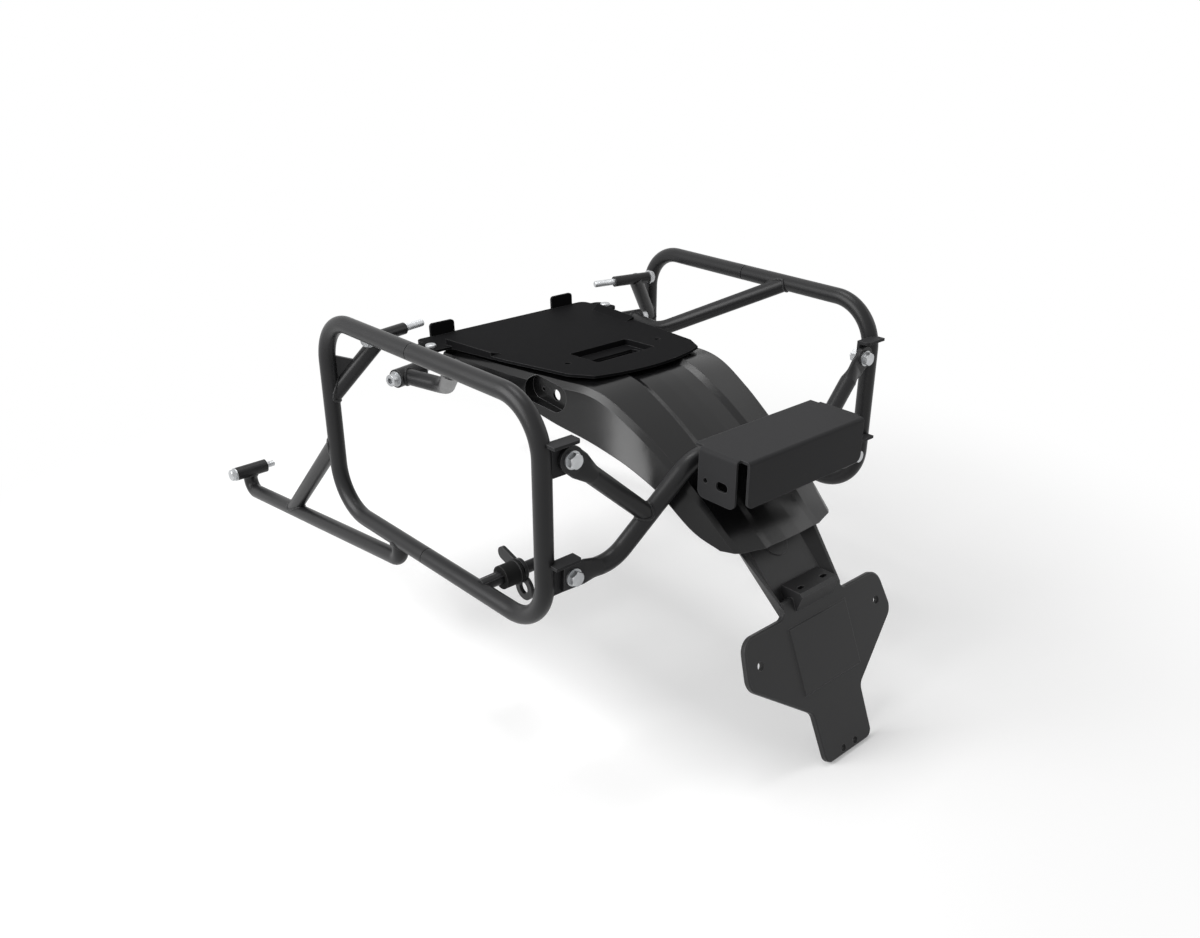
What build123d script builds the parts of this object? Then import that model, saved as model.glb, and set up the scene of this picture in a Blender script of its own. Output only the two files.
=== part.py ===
from build123d import *

import os
from functools import cache
from math import atan, cos, radians, sin, tan

# Pannier frame for a motorcycle: two tubular side hoops joined by a bent crossbar, with the
# stays and arms that bolt them to the bike, a moulded rear fender with its seat deck, a folded
# accessory bracket and a number plate holder.
#
# Millimetres. +X is the bike's right side, +Y is forward and +Z is up. The origin lies on the
# bike's centre plane, at the height of the upper hoop tubes and at the joint between the front
# and the rear half of each hoop. The right side is modelled and the left side mirrors it.

# Tube stock
TUBE_D = 18.0
TUBE_WALL = 2.0
TUBE_BEND_R = 36.0
STRUT_D = 17.6
SADDLE_SETBACK = 3.0

# Side hoops, measured on their centre lines
HOOP_FRONT_Y = 168.0
HOOP_REAR_Y = -189.0
HOOP_FRONT_X = 237.8
HOOP_REAR_X = 229.8
HOOP_HEIGHT = 219.0
HOOP_BEND_R = 50.0
JOINT_GAP = 1.2
SPIGOT_LENGTH = 44.0
SPIGOT_CLEARANCE = 0.1

# M8 fasteners
BOLT_D = 8.0
BOLT_HOLE_D = 8.6
HEX_AF = 13.0
HEX_HEAD_H = 5.3
HEX_BEVEL = 1.0
SOCKET_HEAD_D = 13.0
SOCKET_HEAD_H = 8.0
SOCKET_AF = 6.0
SOCKET_DEPTH = 4.5
WASHER_D = 17.0
WASHER_H = 1.6
NUT_H = 6.8
BOLT_BEVEL = 0.6
THREAD_D = 7.6
SHANK_STANDOUT = 1.0

# Upper front mounts: the bolt crosses its sleeve and points inboard, turned by the yaw
MOUNT_YAW = 12.2
FRONT_TIP = (126.8, 153.5, -26.0)
FRONT_THREAD = 28.0
FRONT_SLEEVE_D = 13.0
FRONT_SLEEVE_LENGTH = 50.0
FRONT_STAY_STATION = 59.0
FRONT_STAY_FOOT_Z = -92.0
GUSSET_THICKNESS = 4.0
GUSSET_TOP_Z = -42.0
GUSSET_REACH = 36.0
GUSSET_DROP = 11.0

# Middle mounts, each on a bent strut that leaves the upper hoop tube behind the joint
MID_HEAD_END = (189.4, 125.0, -72.5)
MID_WASHER_H = 1.0
MID_THREAD = 13.0
MID_SLEEVE_D = 20.5
MID_SLEEVE_LENGTH = 38.0
MID_STRUT_STATION = 22.0
MID_STRUT_ROOT_Y = -65.4
MID_STRUT_BEND = (155.5, 67.0, -71.0)

# Lower front mounts, each on an arm that hangs under the hoop and is braced to it
ARM_ROOT_Y = 52.5
ARM_DROP = 24.5
ARM_FRONT_Y = 436.0
ARM_FRONT_Z = -295.0
ARM_ELBOW_R = 14.0
LOWER_SLEEVE_Y = 424.0
LOWER_SLEEVE_Z = -264.5
LOWER_SLEEVE_D = 17.0
LOWER_SLEEVE_LENGTH = 42.0
LOWER_YAW = 2.2
LOWER_THREAD = 12.0
BRACE_ARM_Y = 306.0
BRACE_HOOP_Z = -143.0

# Rear brackets on the hoops, and the bolts that hold the crossbar and the short struts
REAR_BOLT_X = 206.0
REAR_UPPER_Z = -52.0
REAR_LOWER_Z = -166.0
REAR_THREAD_END = 3.0
BRACKET_THICKNESS = 3.0
BRACKET_HALF_HEIGHT = 14.5
BRACKET_TOP_RISE = 19.0
BRACKET_REACH = 6.0
BRACKET_FLANGE = 11.0
BRACKET_CORNER_R = 4.0

# Crossbar and short struts with their ends pressed flat against the brackets
CROSSBAR_Y = -198.0
CROSSBAR_LOW_CORNER = (157.0, CROSSBAR_Y, -168.0)
CROSSBAR_TOP_CORNER = (73.0, -213.0, -86.0)
FLAT_THICKNESS = 5.0
FLAT_WIDTH = 25.0
FLAT_END = 11.0
FLAT_INNER = 14.0
FLAT_TAPER = 17.0
STRUT_FOOT_SHARE = 0.45

# Folded accessory bracket over the crossbar
BOX_THICKNESS = 2.5
BOX_TOP_Z = -62.0
BOX_HALF_WIDTH = 88.0
BOX_FRONT_Y = -226.0
BOX_REAR_Y = -291.0
BOX_REAR_DROP = 45.0
BOX_SIDE_DROP = 48.0
BOX_BEND_R = 1.2
BOX_CORNER_INSET = 6.0
BOX_SIDE_SETBACK = 10.0
BOX_CORNER_R = 7.0
BOX_RELIEF_D = 7.0
BOX_HOLE_D = 5.0
BOX_SLOT_LENGTH = 14.0
BOX_SLOT_WIDTH = 9.0
BOX_HOLE_SETBACK = 9.0
BOX_SLOT_SETBACK = 29.0
BOX_HOLE_DROP = 30.0
CARRIER_THICKNESS = 3.0
CARRIER_X = 30.0
CARRIER_LENGTH = 44.0
CARRIER_DEPTH = 12.0

# Seat deck over the front of the fender, tilted down towards the front
DECK_THICKNESS = 3.0
DECK_REAR_Y = -80.0
DECK_REAR_Z = -40.0
DECK_TILT = 2.6
DECK_FRONT_Y = 175.0
DECK_REAR_CORNER = (74.0, -77.0)
DECK_HIP = (87.5, -53.0)
DECK_WAIST = (102.0, 35.0)
DECK_SHOULDER = (112.5, 137.0)
DECK_FRONT_X = 125.0
DECK_CORNER_R = 9.0
DECK_REAR_BULGE = 11.5
DECK_TAB_INNER_X = 72.4
DECK_TAB_OUTER_X = 105.0
DECK_TAB_HEIGHT = 15.0
DECK_TAB_R = 4.0
DECK_EAR_X = 137.0
DECK_EAR_Y = 140.0
DECK_EAR_LENGTH = 38.0
DECK_EAR_R = 9.0
DECK_RAIL_ENDS = (
    {"y": 57.0, "inner": 90.0, "height": 4.0},
    {"y": 131.0, "inner": 103.5, "height": 7.0},
)
DECK_POCKET_HALF_WIDTH = 44.0
DECK_POCKET_FRONT_Y = 5.0
DECK_POCKET_REAR_Y = -48.0
DECK_POCKET_DEPTH = 7.0
DECK_POCKET_R = 6.0
DECK_OPENING_HALF_WIDTH = 35.0
DECK_OPENING_FRONT_Y = -15.0
DECK_OPENING_REAR_Y = -40.0
DECK_HOLE_X = 64.3
DECK_HOLE_Y = -24.0
DECK_HOLE_D = 6.5
TRAY_CLEARANCE = 2.0

# Screws that hold the deck's ears to the bike
EAR_BOLT_X = 128.7
EAR_BOLT_Y = 136.0
EAR_BOLT_D = 6.0
EAR_BOLT_HOLE_D = 6.5
EAR_BOLT_HEAD_D = 12.0
EAR_BOLT_HEAD_H = 3.6
EAR_BOLT_LENGTH = 14.0
EAR_NUT_AF = 10.0
EAR_NUT_H = 5.0

# Moulded fender. Each row gives the distance ahead of the origin, the height of the spine, the
# half width of the shoulder, the depth of the step beside it, and the foot of the side skirt.
# The last rows also give how far the shoulder drops and the channel's sides rise, as the
# channel fades into the domed tail
FENDER_WALL = 3.0
FENDER_LIP_Z = -164.0
FENDER_SEAT_GAP = 0.3
CHANNEL_HALF_FLAT = 10.0
CHANNEL_HALF_WIDTH = 31.0
CHANNEL_SIDE_RUN = 8.0
CHANNEL_DEPTH = 2.5
CHANNEL_SAG = 0.7
SHOULDER_DROP = 2.0
GROOVE_RUN = 5.0
STATION_SPACING = 22.0
UNDER_DECK_STATIONS = (
    {"y": 138.0, "shoulder": 106.0, "step": 2.0, "foot": (113.0, -64.0)},
    {"y": 30.0, "shoulder": 99.0, "step": 6.0, "foot": (108.5, -79.0)},
    {"y": -60.0, "shoulder": 89.0, "step": 6.0, "foot": (103.0, -93.0)},
    {"y": -78.0, "shoulder": 86.6, "step": 6.0, "foot": (101.9, -94.5)},
    {"y": -84.0, "shoulder": 85.8, "step": 6.0, "foot": (101.5, -95.0)},
)
TAIL_STATIONS = (
    {"y": -110.0, "spine": -51.5, "shoulder": 83.4, "step": 6.0, "foot": (100.0, -98.5)},
    {"y": -150.0, "spine": -70.5, "shoulder": 78.7, "step": 6.0, "foot": (97.0, -107.0)},
    {"y": -190.0, "spine": -95.0, "shoulder": 74.2, "step": 6.0, "foot": (92.5, -123.0)},
    {"y": -230.0, "spine": -123.5, "shoulder": 70.0, "step": 5.0, "foot": (84.5, -152.0),
     "drop": 3.0, "rise": 1.5},
    {"y": -255.0, "spine": -143.2, "shoulder": 67.0, "step": 4.0, "foot": (76.5, -164.0),
     "drop": 5.0, "rise": 0.0},
    {"y": -292.0, "spine": -172.5, "shoulder": 61.0, "step": 3.0, "foot": (67.0, -190.0),
     "drop": 8.0, "rise": -1.5},
)
POCKET_LENGTH = 60.0
POCKET_HEIGHT = 26.0
POCKET_CENTRE = (-30.0, -66.0)
POCKET_TILT = 5.0
POCKET_FLOOR_X = 92.0
POCKET_HOLE_D = 12.0
POCKET_HOLE_OFFSET = -9.0
POCKET_PIN_HOLE_D = 5.0
POCKET_PIN_OFFSET = 12.0

# Rubber mounts that carry the fender under the crossbar, and their screws
RUBBER_MOUNT_X = 16.0
RUBBER_MOUNT_D = 20.0
FENDER_SCREW_D = 6.0
FENDER_SCREW_HOLE_D = 6.5
FENDER_SCREW_HEAD_D = 12.0
FENDER_SCREW_HEAD_H = 3.5
FENDER_NUT_AF = 10.0
FENDER_NUT_H = 5.0

# Number plate holder: a channelled arm under the fender's lip, a shelf and the plate, one moulding
ARM_TOP = (-254.6, -163.6)
ARM_LEAN = 44.5
ARM_LENGTH = 86.0
ARM_RIM_TOP = 57.0
ARM_RIM_LOW = 41.0
ARM_BELLY_TOP = 44.0
ARM_BELLY_LOW = 38.0
ARM_DEPTH = 14.0
ARM_WALL = 3.5
ARM_FLOOR_HALF_WIDTH = 36.0
ARM_FLOOR_DEPTH = 8.0
BOSS_X = 22.0
BOSS_D = 13.0
BOSS_OFFSET = 9.0
BOSS_SCREW_DEPTH = 12.0
DISC_D = 30.0
DISC_HEIGHT = 1.2
DISC_OFFSET = 14.0
SHELF_TOP_Z = -203.0
SHELF_FRONT_Y = -292.0
SHELF_REAR_Y = -318.0
SHELF_HALF_WIDTH = 27.0
SHELF_BEVEL = 3.0
SHELF_FOOT = 29.5
SHELF_SLOT_X = 16.8
SHELF_SLOT_Y = -307.5
SHELF_SLOT_LENGTH = 9.0
SHELF_SLOT_WIDTH = 4.5
HOLDER_TILT = 23.0
HOLDER_THICKNESS = 6.0
HOLDER_HOLE_X = 88.0
HOLDER_HOLE_Y = -323.8
HOLDER_HOLE_Z = -251.2
HOLDER_HOLE_D = 8.5
HOLDER_NECK = (42.0, 44.0)
HOLDER_SHOULDER = 29.0
HOLDER_WING_TOP_X = 101.0
HOLDER_WING_TIP = (108.5, -16.0)
HOLDER_WAIST = (37.0, -69.0)
HOLDER_FOOT = (35.5, -122.0)
HOLDER_BEVEL = 1.5
HOLDER_NECK_R = 8.0
HOLDER_WING_R = 16.0
HOLDER_WAIST_R = 10.0
HOLDER_FOOT_R = 9.0
FOOT_HOLE_X = 9.1
FOOT_HOLE = -116.0
FOOT_HOLE_D = 7.0
PAD_HALF_WIDTH = 43.4
PAD_TOP = 18.5
PAD_BOTTOM = -49.5
PAD_RAISE = 1.5

# Lower latches: a bar from the lower hoop tube carries a rubber bush and a fixed lever
LATCH_Y = -91.0
LATCH_RISE = 5.0
LATCH_Z = LATCH_RISE - HOOP_HEIGHT
LATCH_BAR_D = 12.7
LATCH_BAR_END_X = 160.0
LATCH_BUSH_X = 208.0
LATCH_BUSH_LENGTH = 17.0
LATCH_BUSH_D = 24.0
LATCH_FLANGE_D = 26.0
LATCH_FLANGE_LENGTH = 3.0
LATCH_LEVER_X = 186.0
LATCH_LEVER_THICKNESS = 4.0
LATCH_HUB_D = 24.0
LATCH_EYE_DROP = 17.0
LATCH_EYE = (-98.0, LATCH_Z - LATCH_EYE_DROP)
LATCH_EYE_D = 26.0
LATCH_EYE_HOLE_D = 13.0
LATCH_NOSE_RISE = 8.0
LATCH_NOSE = (-64.0, LATCH_Z + LATCH_NOSE_RISE)
LATCH_NOSE_D = 14.0
LATCH_FIT = 0.1

OUTBOARD = Vector(cos(radians(MOUNT_YAW)), -sin(radians(MOUNT_YAW)), 0)
REARWARD = Vector(0, -1, 0)


def hoop_x(y: float) -> float:
    """Half width of the frame at the hoops' centre lines, which converge to the rear."""
    share = (y - HOOP_REAR_Y) / (HOOP_FRONT_Y - HOOP_REAR_Y)
    return HOOP_REAR_X + share * (HOOP_FRONT_X - HOOP_REAR_X)


def hoop_point(y: float, z: float) -> Vector:
    """A point in the plane of the right hoop."""
    return Vector(hoop_x(y), y, z)


def rod(path, diameter: float) -> Solid:
    """Round bar of one diameter along a path."""
    start = Plane(origin=path @ 0, z_dir=path % 0)
    return sweep(start * Circle(diameter / 2), path=path).solid()


def pipe(path, diameter: float):
    """Tube of the common wall along a path, open at both ends."""
    return rod(path, diameter) - rod(path, diameter - 2 * TUBE_WALL)


def largest(shape) -> Solid:
    """The biggest solid that a cut leaves."""
    return max(shape.solids(), key=lambda solid: solid.volume)


def along(origin, direction, distance: float) -> Vector:
    """Point at a distance from an origin along a direction."""
    return Vector(origin) + Vector(direction).normalized() * distance


def mirrored(shape):
    """The left-hand copy of a right-hand piece."""
    return mirror(shape, about=Plane.YZ)


def ring(origin, direction, outer: float, inner: float, length: float):
    """Sleeve or washer that starts at origin and runs along direction."""
    seat = Plane(origin=Vector(origin), z_dir=Vector(direction))
    return extrude(seat * (Circle(outer / 2) - Circle(inner / 2)), length)


def hex_nut(
    origin, direction, bore: float = BOLT_D, flats: float = HEX_AF, height: float = NUT_H
):
    """Hex nut that starts at origin and runs along direction."""
    seat = Plane(origin=Vector(origin), z_dir=Vector(direction))
    profile = RegularPolygon(flats / 2, 6, major_radius=False) - Circle(bore / 2)
    return extrude(seat * profile, height)


def far_circle(shape, seat: Vector):
    """The round edge of a turned shape that lies farthest from its seat."""
    circles = shape.edges().filter_by(GeomType.CIRCLE)
    return max(circles, key=lambda edge: (edge.arc_center - seat).length)


def shank(seat: Plane, diameter: float, length: float, thread: float = 0):
    """Bolt shank with a bevelled tip, from its seat plane; a free thread is a little thinner."""
    bar = extrude(seat * Circle(diameter / 2), length - thread)
    if thread:
        bar += extrude(seat.offset(length - thread) * Circle(THREAD_D / 2), thread)
    return chamfer(far_circle(bar, seat.origin), BOLT_BEVEL)


def hex_bolt(head_face, direction, length: float, thread: float = 0) -> Solid:
    """Hex bolt: its head sits on head_face and its shank runs along direction."""
    seat = Plane(origin=Vector(head_face), z_dir=Vector(direction))
    hexagon = extrude(seat * RegularPolygon(HEX_AF / 2, 6, major_radius=False), -HEX_HEAD_H)
    crown = extrude(seat * Circle(HEX_AF / 2 / cos(radians(30))), -HEX_HEAD_H)
    crown = chamfer(far_circle(crown, seat.origin), HEX_BEVEL)
    return (hexagon & crown).solid() + shank(seat, BOLT_D, length, thread)


def socket_bolt(head_face, direction, length: float, thread: float) -> Solid:
    """Socket head bolt with its hexagon recess."""
    seat = Plane(origin=Vector(head_face), z_dir=Vector(direction))
    head = extrude(seat * Circle(SOCKET_HEAD_D / 2), -SOCKET_HEAD_H)
    head = chamfer(far_circle(head, seat.origin), BOLT_BEVEL)
    floor = seat.offset(SOCKET_DEPTH - SOCKET_HEAD_H)
    head -= extrude(floor * RegularPolygon(SOCKET_AF / 2, 6, major_radius=False), -SOCKET_DEPTH)
    return head + shank(seat, BOLT_D, length, thread)


def hoop_path(seam_y: float, end_y: float):
    """Centre line of one hoop half, from the upper joint round to the lower joint."""
    return FilletPolyline(
        hoop_point(seam_y, 0),
        hoop_point(end_y, 0),
        hoop_point(end_y, -HOOP_HEIGHT),
        hoop_point(seam_y, -HOOP_HEIGHT),
        radius=HOOP_BEND_R,
    )


@cache
def front_hoop_rod() -> Solid:
    """Outer form of the front hoop half, for fitting other tubes to it."""
    return rod(hoop_path(0, HOOP_FRONT_Y), TUBE_D)


@cache
def rear_hoop_rod() -> Solid:
    """Outer form of the rear hoop half, for fitting other tubes to it."""
    return rod(hoop_path(0, HOOP_REAR_Y), TUBE_D)


def hoop_front():
    """Front half of the hoop, bent from one tube."""
    return pipe(hoop_path(JOINT_GAP / 2, HOOP_FRONT_Y), TUBE_D)


def hoop_rear():
    """Rear half of the hoop, bent from one tube."""
    return pipe(hoop_path(-JOINT_GAP / 2, HOOP_REAR_Y), TUBE_D)


def hoop_spigots():
    """Plugs inside the joints that line up the two halves of a hoop."""
    diameter = TUBE_D - 2 * TUBE_WALL - 2 * SPIGOT_CLEARANCE
    half = SPIGOT_LENGTH / 2
    return [rod(Line(hoop_point(-half, z), hoop_point(half, z)), diameter) for z in (0, -HOOP_HEIGHT)]


def front_station(distance: float) -> Vector:
    """Point on the axis of the upper front mount, measured outboard from the bolt's tip."""
    return along(FRONT_TIP, OUTBOARD, distance)


def front_sleeve():
    """Sleeve that the upper front bolt crosses."""
    start = front_station(FRONT_THREAD)
    return ring(start, OUTBOARD, FRONT_SLEEVE_D, BOLT_HOLE_D, FRONT_SLEEVE_LENGTH)


def front_mount_washer():
    """Washer between the sleeve and the bolt's head."""
    start = front_station(FRONT_THREAD + FRONT_SLEEVE_LENGTH)
    return ring(start, OUTBOARD, WASHER_D, BOLT_HOLE_D, WASHER_H)


def front_mount_bolt():
    """Bolt of the upper front mount, its thread free inboard of the sleeve."""
    length = FRONT_THREAD + FRONT_SLEEVE_LENGTH + WASHER_H
    return hex_bolt(front_station(length), -OUTBOARD, length, FRONT_THREAD - SHANK_STANDOUT)


@cache
def front_stay_rod() -> Solid:
    """Outer form of the stay from the hoop's front tube up to the mount sleeve."""
    foot = hoop_point(HOOP_FRONT_Y, FRONT_STAY_FOOT_Z)
    return rod(Line(foot, front_station(FRONT_STAY_STATION)), STRUT_D)


def front_stay():
    """Stay from the hoop's front tube up to the mount sleeve, coped over both."""
    bar = front_stay_rod()
    sleeve_line = Line(front_station(FRONT_THREAD), front_station(FRONT_THREAD + FRONT_SLEEVE_LENGTH))
    return largest(bar - front_hoop_rod() - rod(sleeve_line, FRONT_SLEEVE_D))


def front_gusset():
    """Triangular plate in the corner between the hoop and the stay."""
    top = hoop_point(HOOP_FRONT_Y, 0)
    inboard = front_station(FRONT_STAY_STATION) - top
    reach = Vector(inboard.X, inboard.Y, 0).normalized()
    plane = Plane(origin=top, x_dir=reach, z_dir=reach.cross(Vector(0, 0, 1)))
    corners = [
        (0, GUSSET_TOP_Z),
        (GUSSET_REACH, GUSSET_TOP_Z - GUSSET_DROP),
        (0, FRONT_STAY_FOOT_Z),
    ]
    plate = extrude(plane * make_face(Polyline(*corners, close=True)), GUSSET_THICKNESS / 2, both=True)
    return largest(plate - front_hoop_rod() - front_stay_rod())


def mid_station(distance: float) -> Vector:
    """Point on the axis of the middle mount, measured inboard from the bolt head's outer end."""
    return along(MID_HEAD_END, -OUTBOARD, distance)


def mid_sleeve():
    """Sleeve that the middle bolt crosses."""
    start = mid_station(SOCKET_HEAD_H + MID_WASHER_H)
    return ring(start, -OUTBOARD, MID_SLEEVE_D, BOLT_HOLE_D, MID_SLEEVE_LENGTH)


def mid_mount_washer():
    """Thin washer under the socket head."""
    return ring(mid_station(SOCKET_HEAD_H), -OUTBOARD, WASHER_D, BOLT_HOLE_D, MID_WASHER_H)


def mid_mount_bolt():
    """Socket head bolt of the middle mount."""
    length = MID_WASHER_H + MID_SLEEVE_LENGTH + MID_THREAD
    return socket_bolt(mid_station(SOCKET_HEAD_H), -OUTBOARD, length, MID_THREAD - SHANK_STANDOUT)


def mid_strut():
    """Bent strut from the upper hoop tube forward and inboard to the middle mount."""
    path = FilletPolyline(
        hoop_point(MID_STRUT_ROOT_Y, 0),
        Vector(MID_STRUT_BEND),
        mid_station(MID_STRUT_STATION),
        radius=TUBE_BEND_R,
    )
    start = mid_station(SOCKET_HEAD_H + MID_WASHER_H)
    blank = rod(Line(start, along(start, -OUTBOARD, MID_SLEEVE_LENGTH)), MID_SLEEVE_D)
    return largest(pipe(path, STRUT_D) - rear_hoop_rod() - blank)


def arm_point(y: float) -> Vector:
    """Point on the long straight run of the lower arm."""
    root_z = -HOOP_HEIGHT - ARM_DROP
    share = (y - ARM_ROOT_Y) / (ARM_FRONT_Y - ARM_ROOT_Y)
    x = hoop_x(ARM_ROOT_Y) + share * (HOOP_FRONT_X - hoop_x(ARM_ROOT_Y))
    return Vector(x, y, root_z + share * (ARM_FRONT_Z - root_z))


def lower_sleeve_centre() -> Vector:
    """Centre of the sleeve at the front end of the lower arm."""
    return Vector(HOOP_FRONT_X, LOWER_SLEEVE_Y, LOWER_SLEEVE_Z)


def arm_path():
    """Centre line of the lower arm, from the hoop down, forward and up to its sleeve."""
    front = arm_point(ARM_FRONT_Y)
    end = along(lower_sleeve_centre(), front - lower_sleeve_centre(), SADDLE_SETBACK)
    return FilletPolyline(
        hoop_point(ARM_ROOT_Y, -HOOP_HEIGHT),
        arm_point(ARM_ROOT_Y),
        front,
        end,
        radius=ARM_ELBOW_R,
    )


def lower_outboard() -> Vector:
    """Outboard direction of the lower bolts, which lean clear of each other."""
    return Vector(1, 0, 0).rotate(Axis.Z, -LOWER_YAW)


def lower_sleeve_end() -> Vector:
    """Outboard end of the lower sleeve's axis."""
    return along(lower_sleeve_centre(), lower_outboard(), LOWER_SLEEVE_LENGTH / 2)


def lower_sleeve():
    """Sleeve that the lower bolt crosses."""
    return ring(lower_sleeve_end(), -lower_outboard(), LOWER_SLEEVE_D, BOLT_HOLE_D, LOWER_SLEEVE_LENGTH)


def lower_mount_washer():
    """Washer between the lower sleeve and its bolt's head."""
    return ring(lower_sleeve_end(), lower_outboard(), WASHER_D, BOLT_HOLE_D, WASHER_H)


def lower_mount_bolt():
    """Bolt of the lower mount, its thread free inboard of the sleeve."""
    seat = along(lower_sleeve_end(), lower_outboard(), WASHER_H)
    length = WASHER_H + LOWER_SLEEVE_LENGTH + LOWER_THREAD
    return hex_bolt(seat, -lower_outboard(), length, LOWER_THREAD - SHANK_STANDOUT)


def lower_arm():
    """Arm under the hoop that carries the lower mount."""
    start = lower_sleeve_end()
    blank = rod(Line(start, along(start, -lower_outboard(), LOWER_SLEEVE_LENGTH)), LOWER_SLEEVE_D)
    return largest(pipe(arm_path(), STRUT_D) - front_hoop_rod() - blank)


def lower_brace():
    """Brace from the lower arm back up to the hoop's front tube."""
    path = Line(arm_point(BRACE_ARM_Y), hoop_point(HOOP_FRONT_Y, BRACE_HOOP_Z))
    return largest(pipe(path, STRUT_D) - front_hoop_rod() - rod(arm_path(), STRUT_D))


def bracket_face_y() -> float:
    """Rear face of the brackets, where the pressed tube ends bear."""
    return CROSSBAR_Y + FLAT_THICKNESS / 2


def rear_bracket(bolt_z: float):
    """Folded bracket on the hoop's rear tube: a bolt plate with a flange turned to the rear."""
    low = bolt_z - BRACKET_HALF_HEIGHT
    high = bolt_z + BRACKET_TOP_RISE
    inner = REAR_BOLT_X - BRACKET_REACH
    outer = hoop_x(HOOP_REAR_Y)
    width = outer - inner
    face = bracket_face_y()
    plate = Pos((inner + outer) / 2, face + BRACKET_THICKNESS / 2, (low + high) / 2) * Box(
        width, BRACKET_THICKNESS, high - low
    )
    flange = Pos((inner + outer) / 2, face - BRACKET_FLANGE / 2, high - BRACKET_THICKNESS / 2) * Box(
        width, BRACKET_FLANGE, BRACKET_THICKNESS
    )
    corner = flange.edges().filter_by(Axis.Z).sort_by(Axis.X)[:2].sort_by(Axis.Y)[0]
    hole_place = Pos(REAR_BOLT_X, face, bolt_z) * Rot(90, 0, 0)
    bolt_hole = hole_place * Cylinder(BOLT_HOLE_D / 2, 4 * BRACKET_THICKNESS)
    return largest(plate + fillet(corner, BRACKET_CORNER_R) - bolt_hole - rear_hoop_rod())


def rear_stack(bolt_z: float):
    """Washer, bolt and nut that clamp a pressed tube end to its bracket."""
    washer_face = Vector(REAR_BOLT_X, CROSSBAR_Y - FLAT_THICKNESS / 2, bolt_z)
    head_face = washer_face + REARWARD * WASHER_H
    nut_face = Vector(REAR_BOLT_X, bracket_face_y() + BRACKET_THICKNESS, bolt_z)
    length = (nut_face - head_face).length + NUT_H + REAR_THREAD_END
    washer = ring(washer_face, REARWARD, WASHER_D, BOLT_HOLE_D, WASHER_H)
    bolt = hex_bolt(head_face, -REARWARD, length)
    return washer, bolt, hex_nut(nut_face, -REARWARD)


def pressed_end(bolt: Vector, inboard: Vector, round_tip: bool):
    """Tube end pressed flat round its bolt, and the taper that joins it to the round tube."""
    width_dir = inboard.cross(REARWARD)
    outer = along(bolt, inboard, 0 if round_tip else -FLAT_END)
    inner = along(bolt, inboard, FLAT_INNER)
    flat_section = Plane(origin=inner, x_dir=width_dir, z_dir=inboard)
    round_section = flat_section.offset(FLAT_TAPER)
    profile = flat_section * SlotOverall(FLAT_WIDTH, FLAT_THICKNESS)
    tongue = extrude(profile, -(inner - outer).length)
    tongue += loft([profile, round_section * Circle((STRUT_D if round_tip else TUBE_D) / 2)])
    bolt_axis = Pos(*bolt) * Rot(90, 0, 0)
    if round_tip:
        tongue += bolt_axis * Cylinder(FLAT_WIDTH / 2, FLAT_THICKNESS)
    return tongue - bolt_axis * Cylinder(BOLT_HOLE_D / 2, 2 * FLAT_THICKNESS)


def crossbar_bolt() -> Vector:
    """Centre of the crossbar's end at the lower rear bracket."""
    return Vector(REAR_BOLT_X, CROSSBAR_Y, REAR_LOWER_Z)


@cache
def crossbar_path():
    """Centre line of the crossbar between the tapers of its two pressed ends."""
    inboard = Vector(CROSSBAR_LOW_CORNER) - crossbar_bolt()
    start = along(crossbar_bolt(), inboard, FLAT_INNER + FLAT_TAPER)
    right = [start, Vector(CROSSBAR_LOW_CORNER), Vector(CROSSBAR_TOP_CORNER)]
    left = [Vector(-point.X, point.Y, point.Z) for point in reversed(right)]
    return FilletPolyline(*right, *left, radius=TUBE_BEND_R)


def mount_slope() -> float:
    """Slope of the fender's spine under the crossbar."""
    upper, lower = TAIL_STATIONS[2], TAIL_STATIONS[3]
    return (upper["spine"] - lower["spine"]) / (upper["y"] - lower["y"])


def mount_axis_plane(side: int) -> Plane:
    """Plane at the crossbar's axis, its normal along a rubber mount and away from the fender."""
    lean = atan(mount_slope())
    origin = Vector(side * RUBBER_MOUNT_X, CROSSBAR_TOP_CORNER[1], CROSSBAR_TOP_CORNER[2])
    return Plane(origin=origin, x_dir=(1, 0, 0), z_dir=(0, -sin(lean), cos(lean)))


def mount_reach() -> float:
    """Distance from the crossbar's axis to the fender's outer face along a rubber mount."""
    upper = TAIL_STATIONS[2]
    bar_y, bar_z = CROSSBAR_TOP_CORNER[1:]
    height = bar_z - upper["spine"] - (bar_y - upper["y"]) * mount_slope()
    return height * cos(atan(mount_slope()))


def crossbar():
    """Crossbar from one lower bracket over the fender to the other."""
    inboard = Vector(CROSSBAR_LOW_CORNER) - crossbar_bolt()
    right_end = pressed_end(crossbar_bolt(), inboard, round_tip=False)
    bar = pipe(crossbar_path(), TUBE_D) + right_end + mirrored(right_end)
    for side in (-1, 1):
        bar -= mount_axis_plane(side) * Cylinder(FENDER_SCREW_HOLE_D / 2, 2 * TUBE_D)
    return bar.solid()


def short_strut():
    """Short strut from the upper bracket down to the crossbar's leg."""
    bolt = Vector(REAR_BOLT_X, CROSSBAR_Y, REAR_UPPER_Z)
    low = Vector(CROSSBAR_LOW_CORNER)
    foot = low + (Vector(CROSSBAR_TOP_CORNER) - low) * STRUT_FOOT_SHARE
    inboard = Vector(foot.X - bolt.X, 0, foot.Z - bolt.Z)
    start = along(bolt, inboard, FLAT_INNER + FLAT_TAPER)
    knee = along(start, inboard, SADDLE_SETBACK)
    bar = pipe(FilletPolyline(start, knee, foot, radius=TUBE_BEND_R), STRUT_D)
    return largest(bar + pressed_end(bolt, inboard, round_tip=True) - rod(crossbar_path(), TUBE_D))


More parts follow.
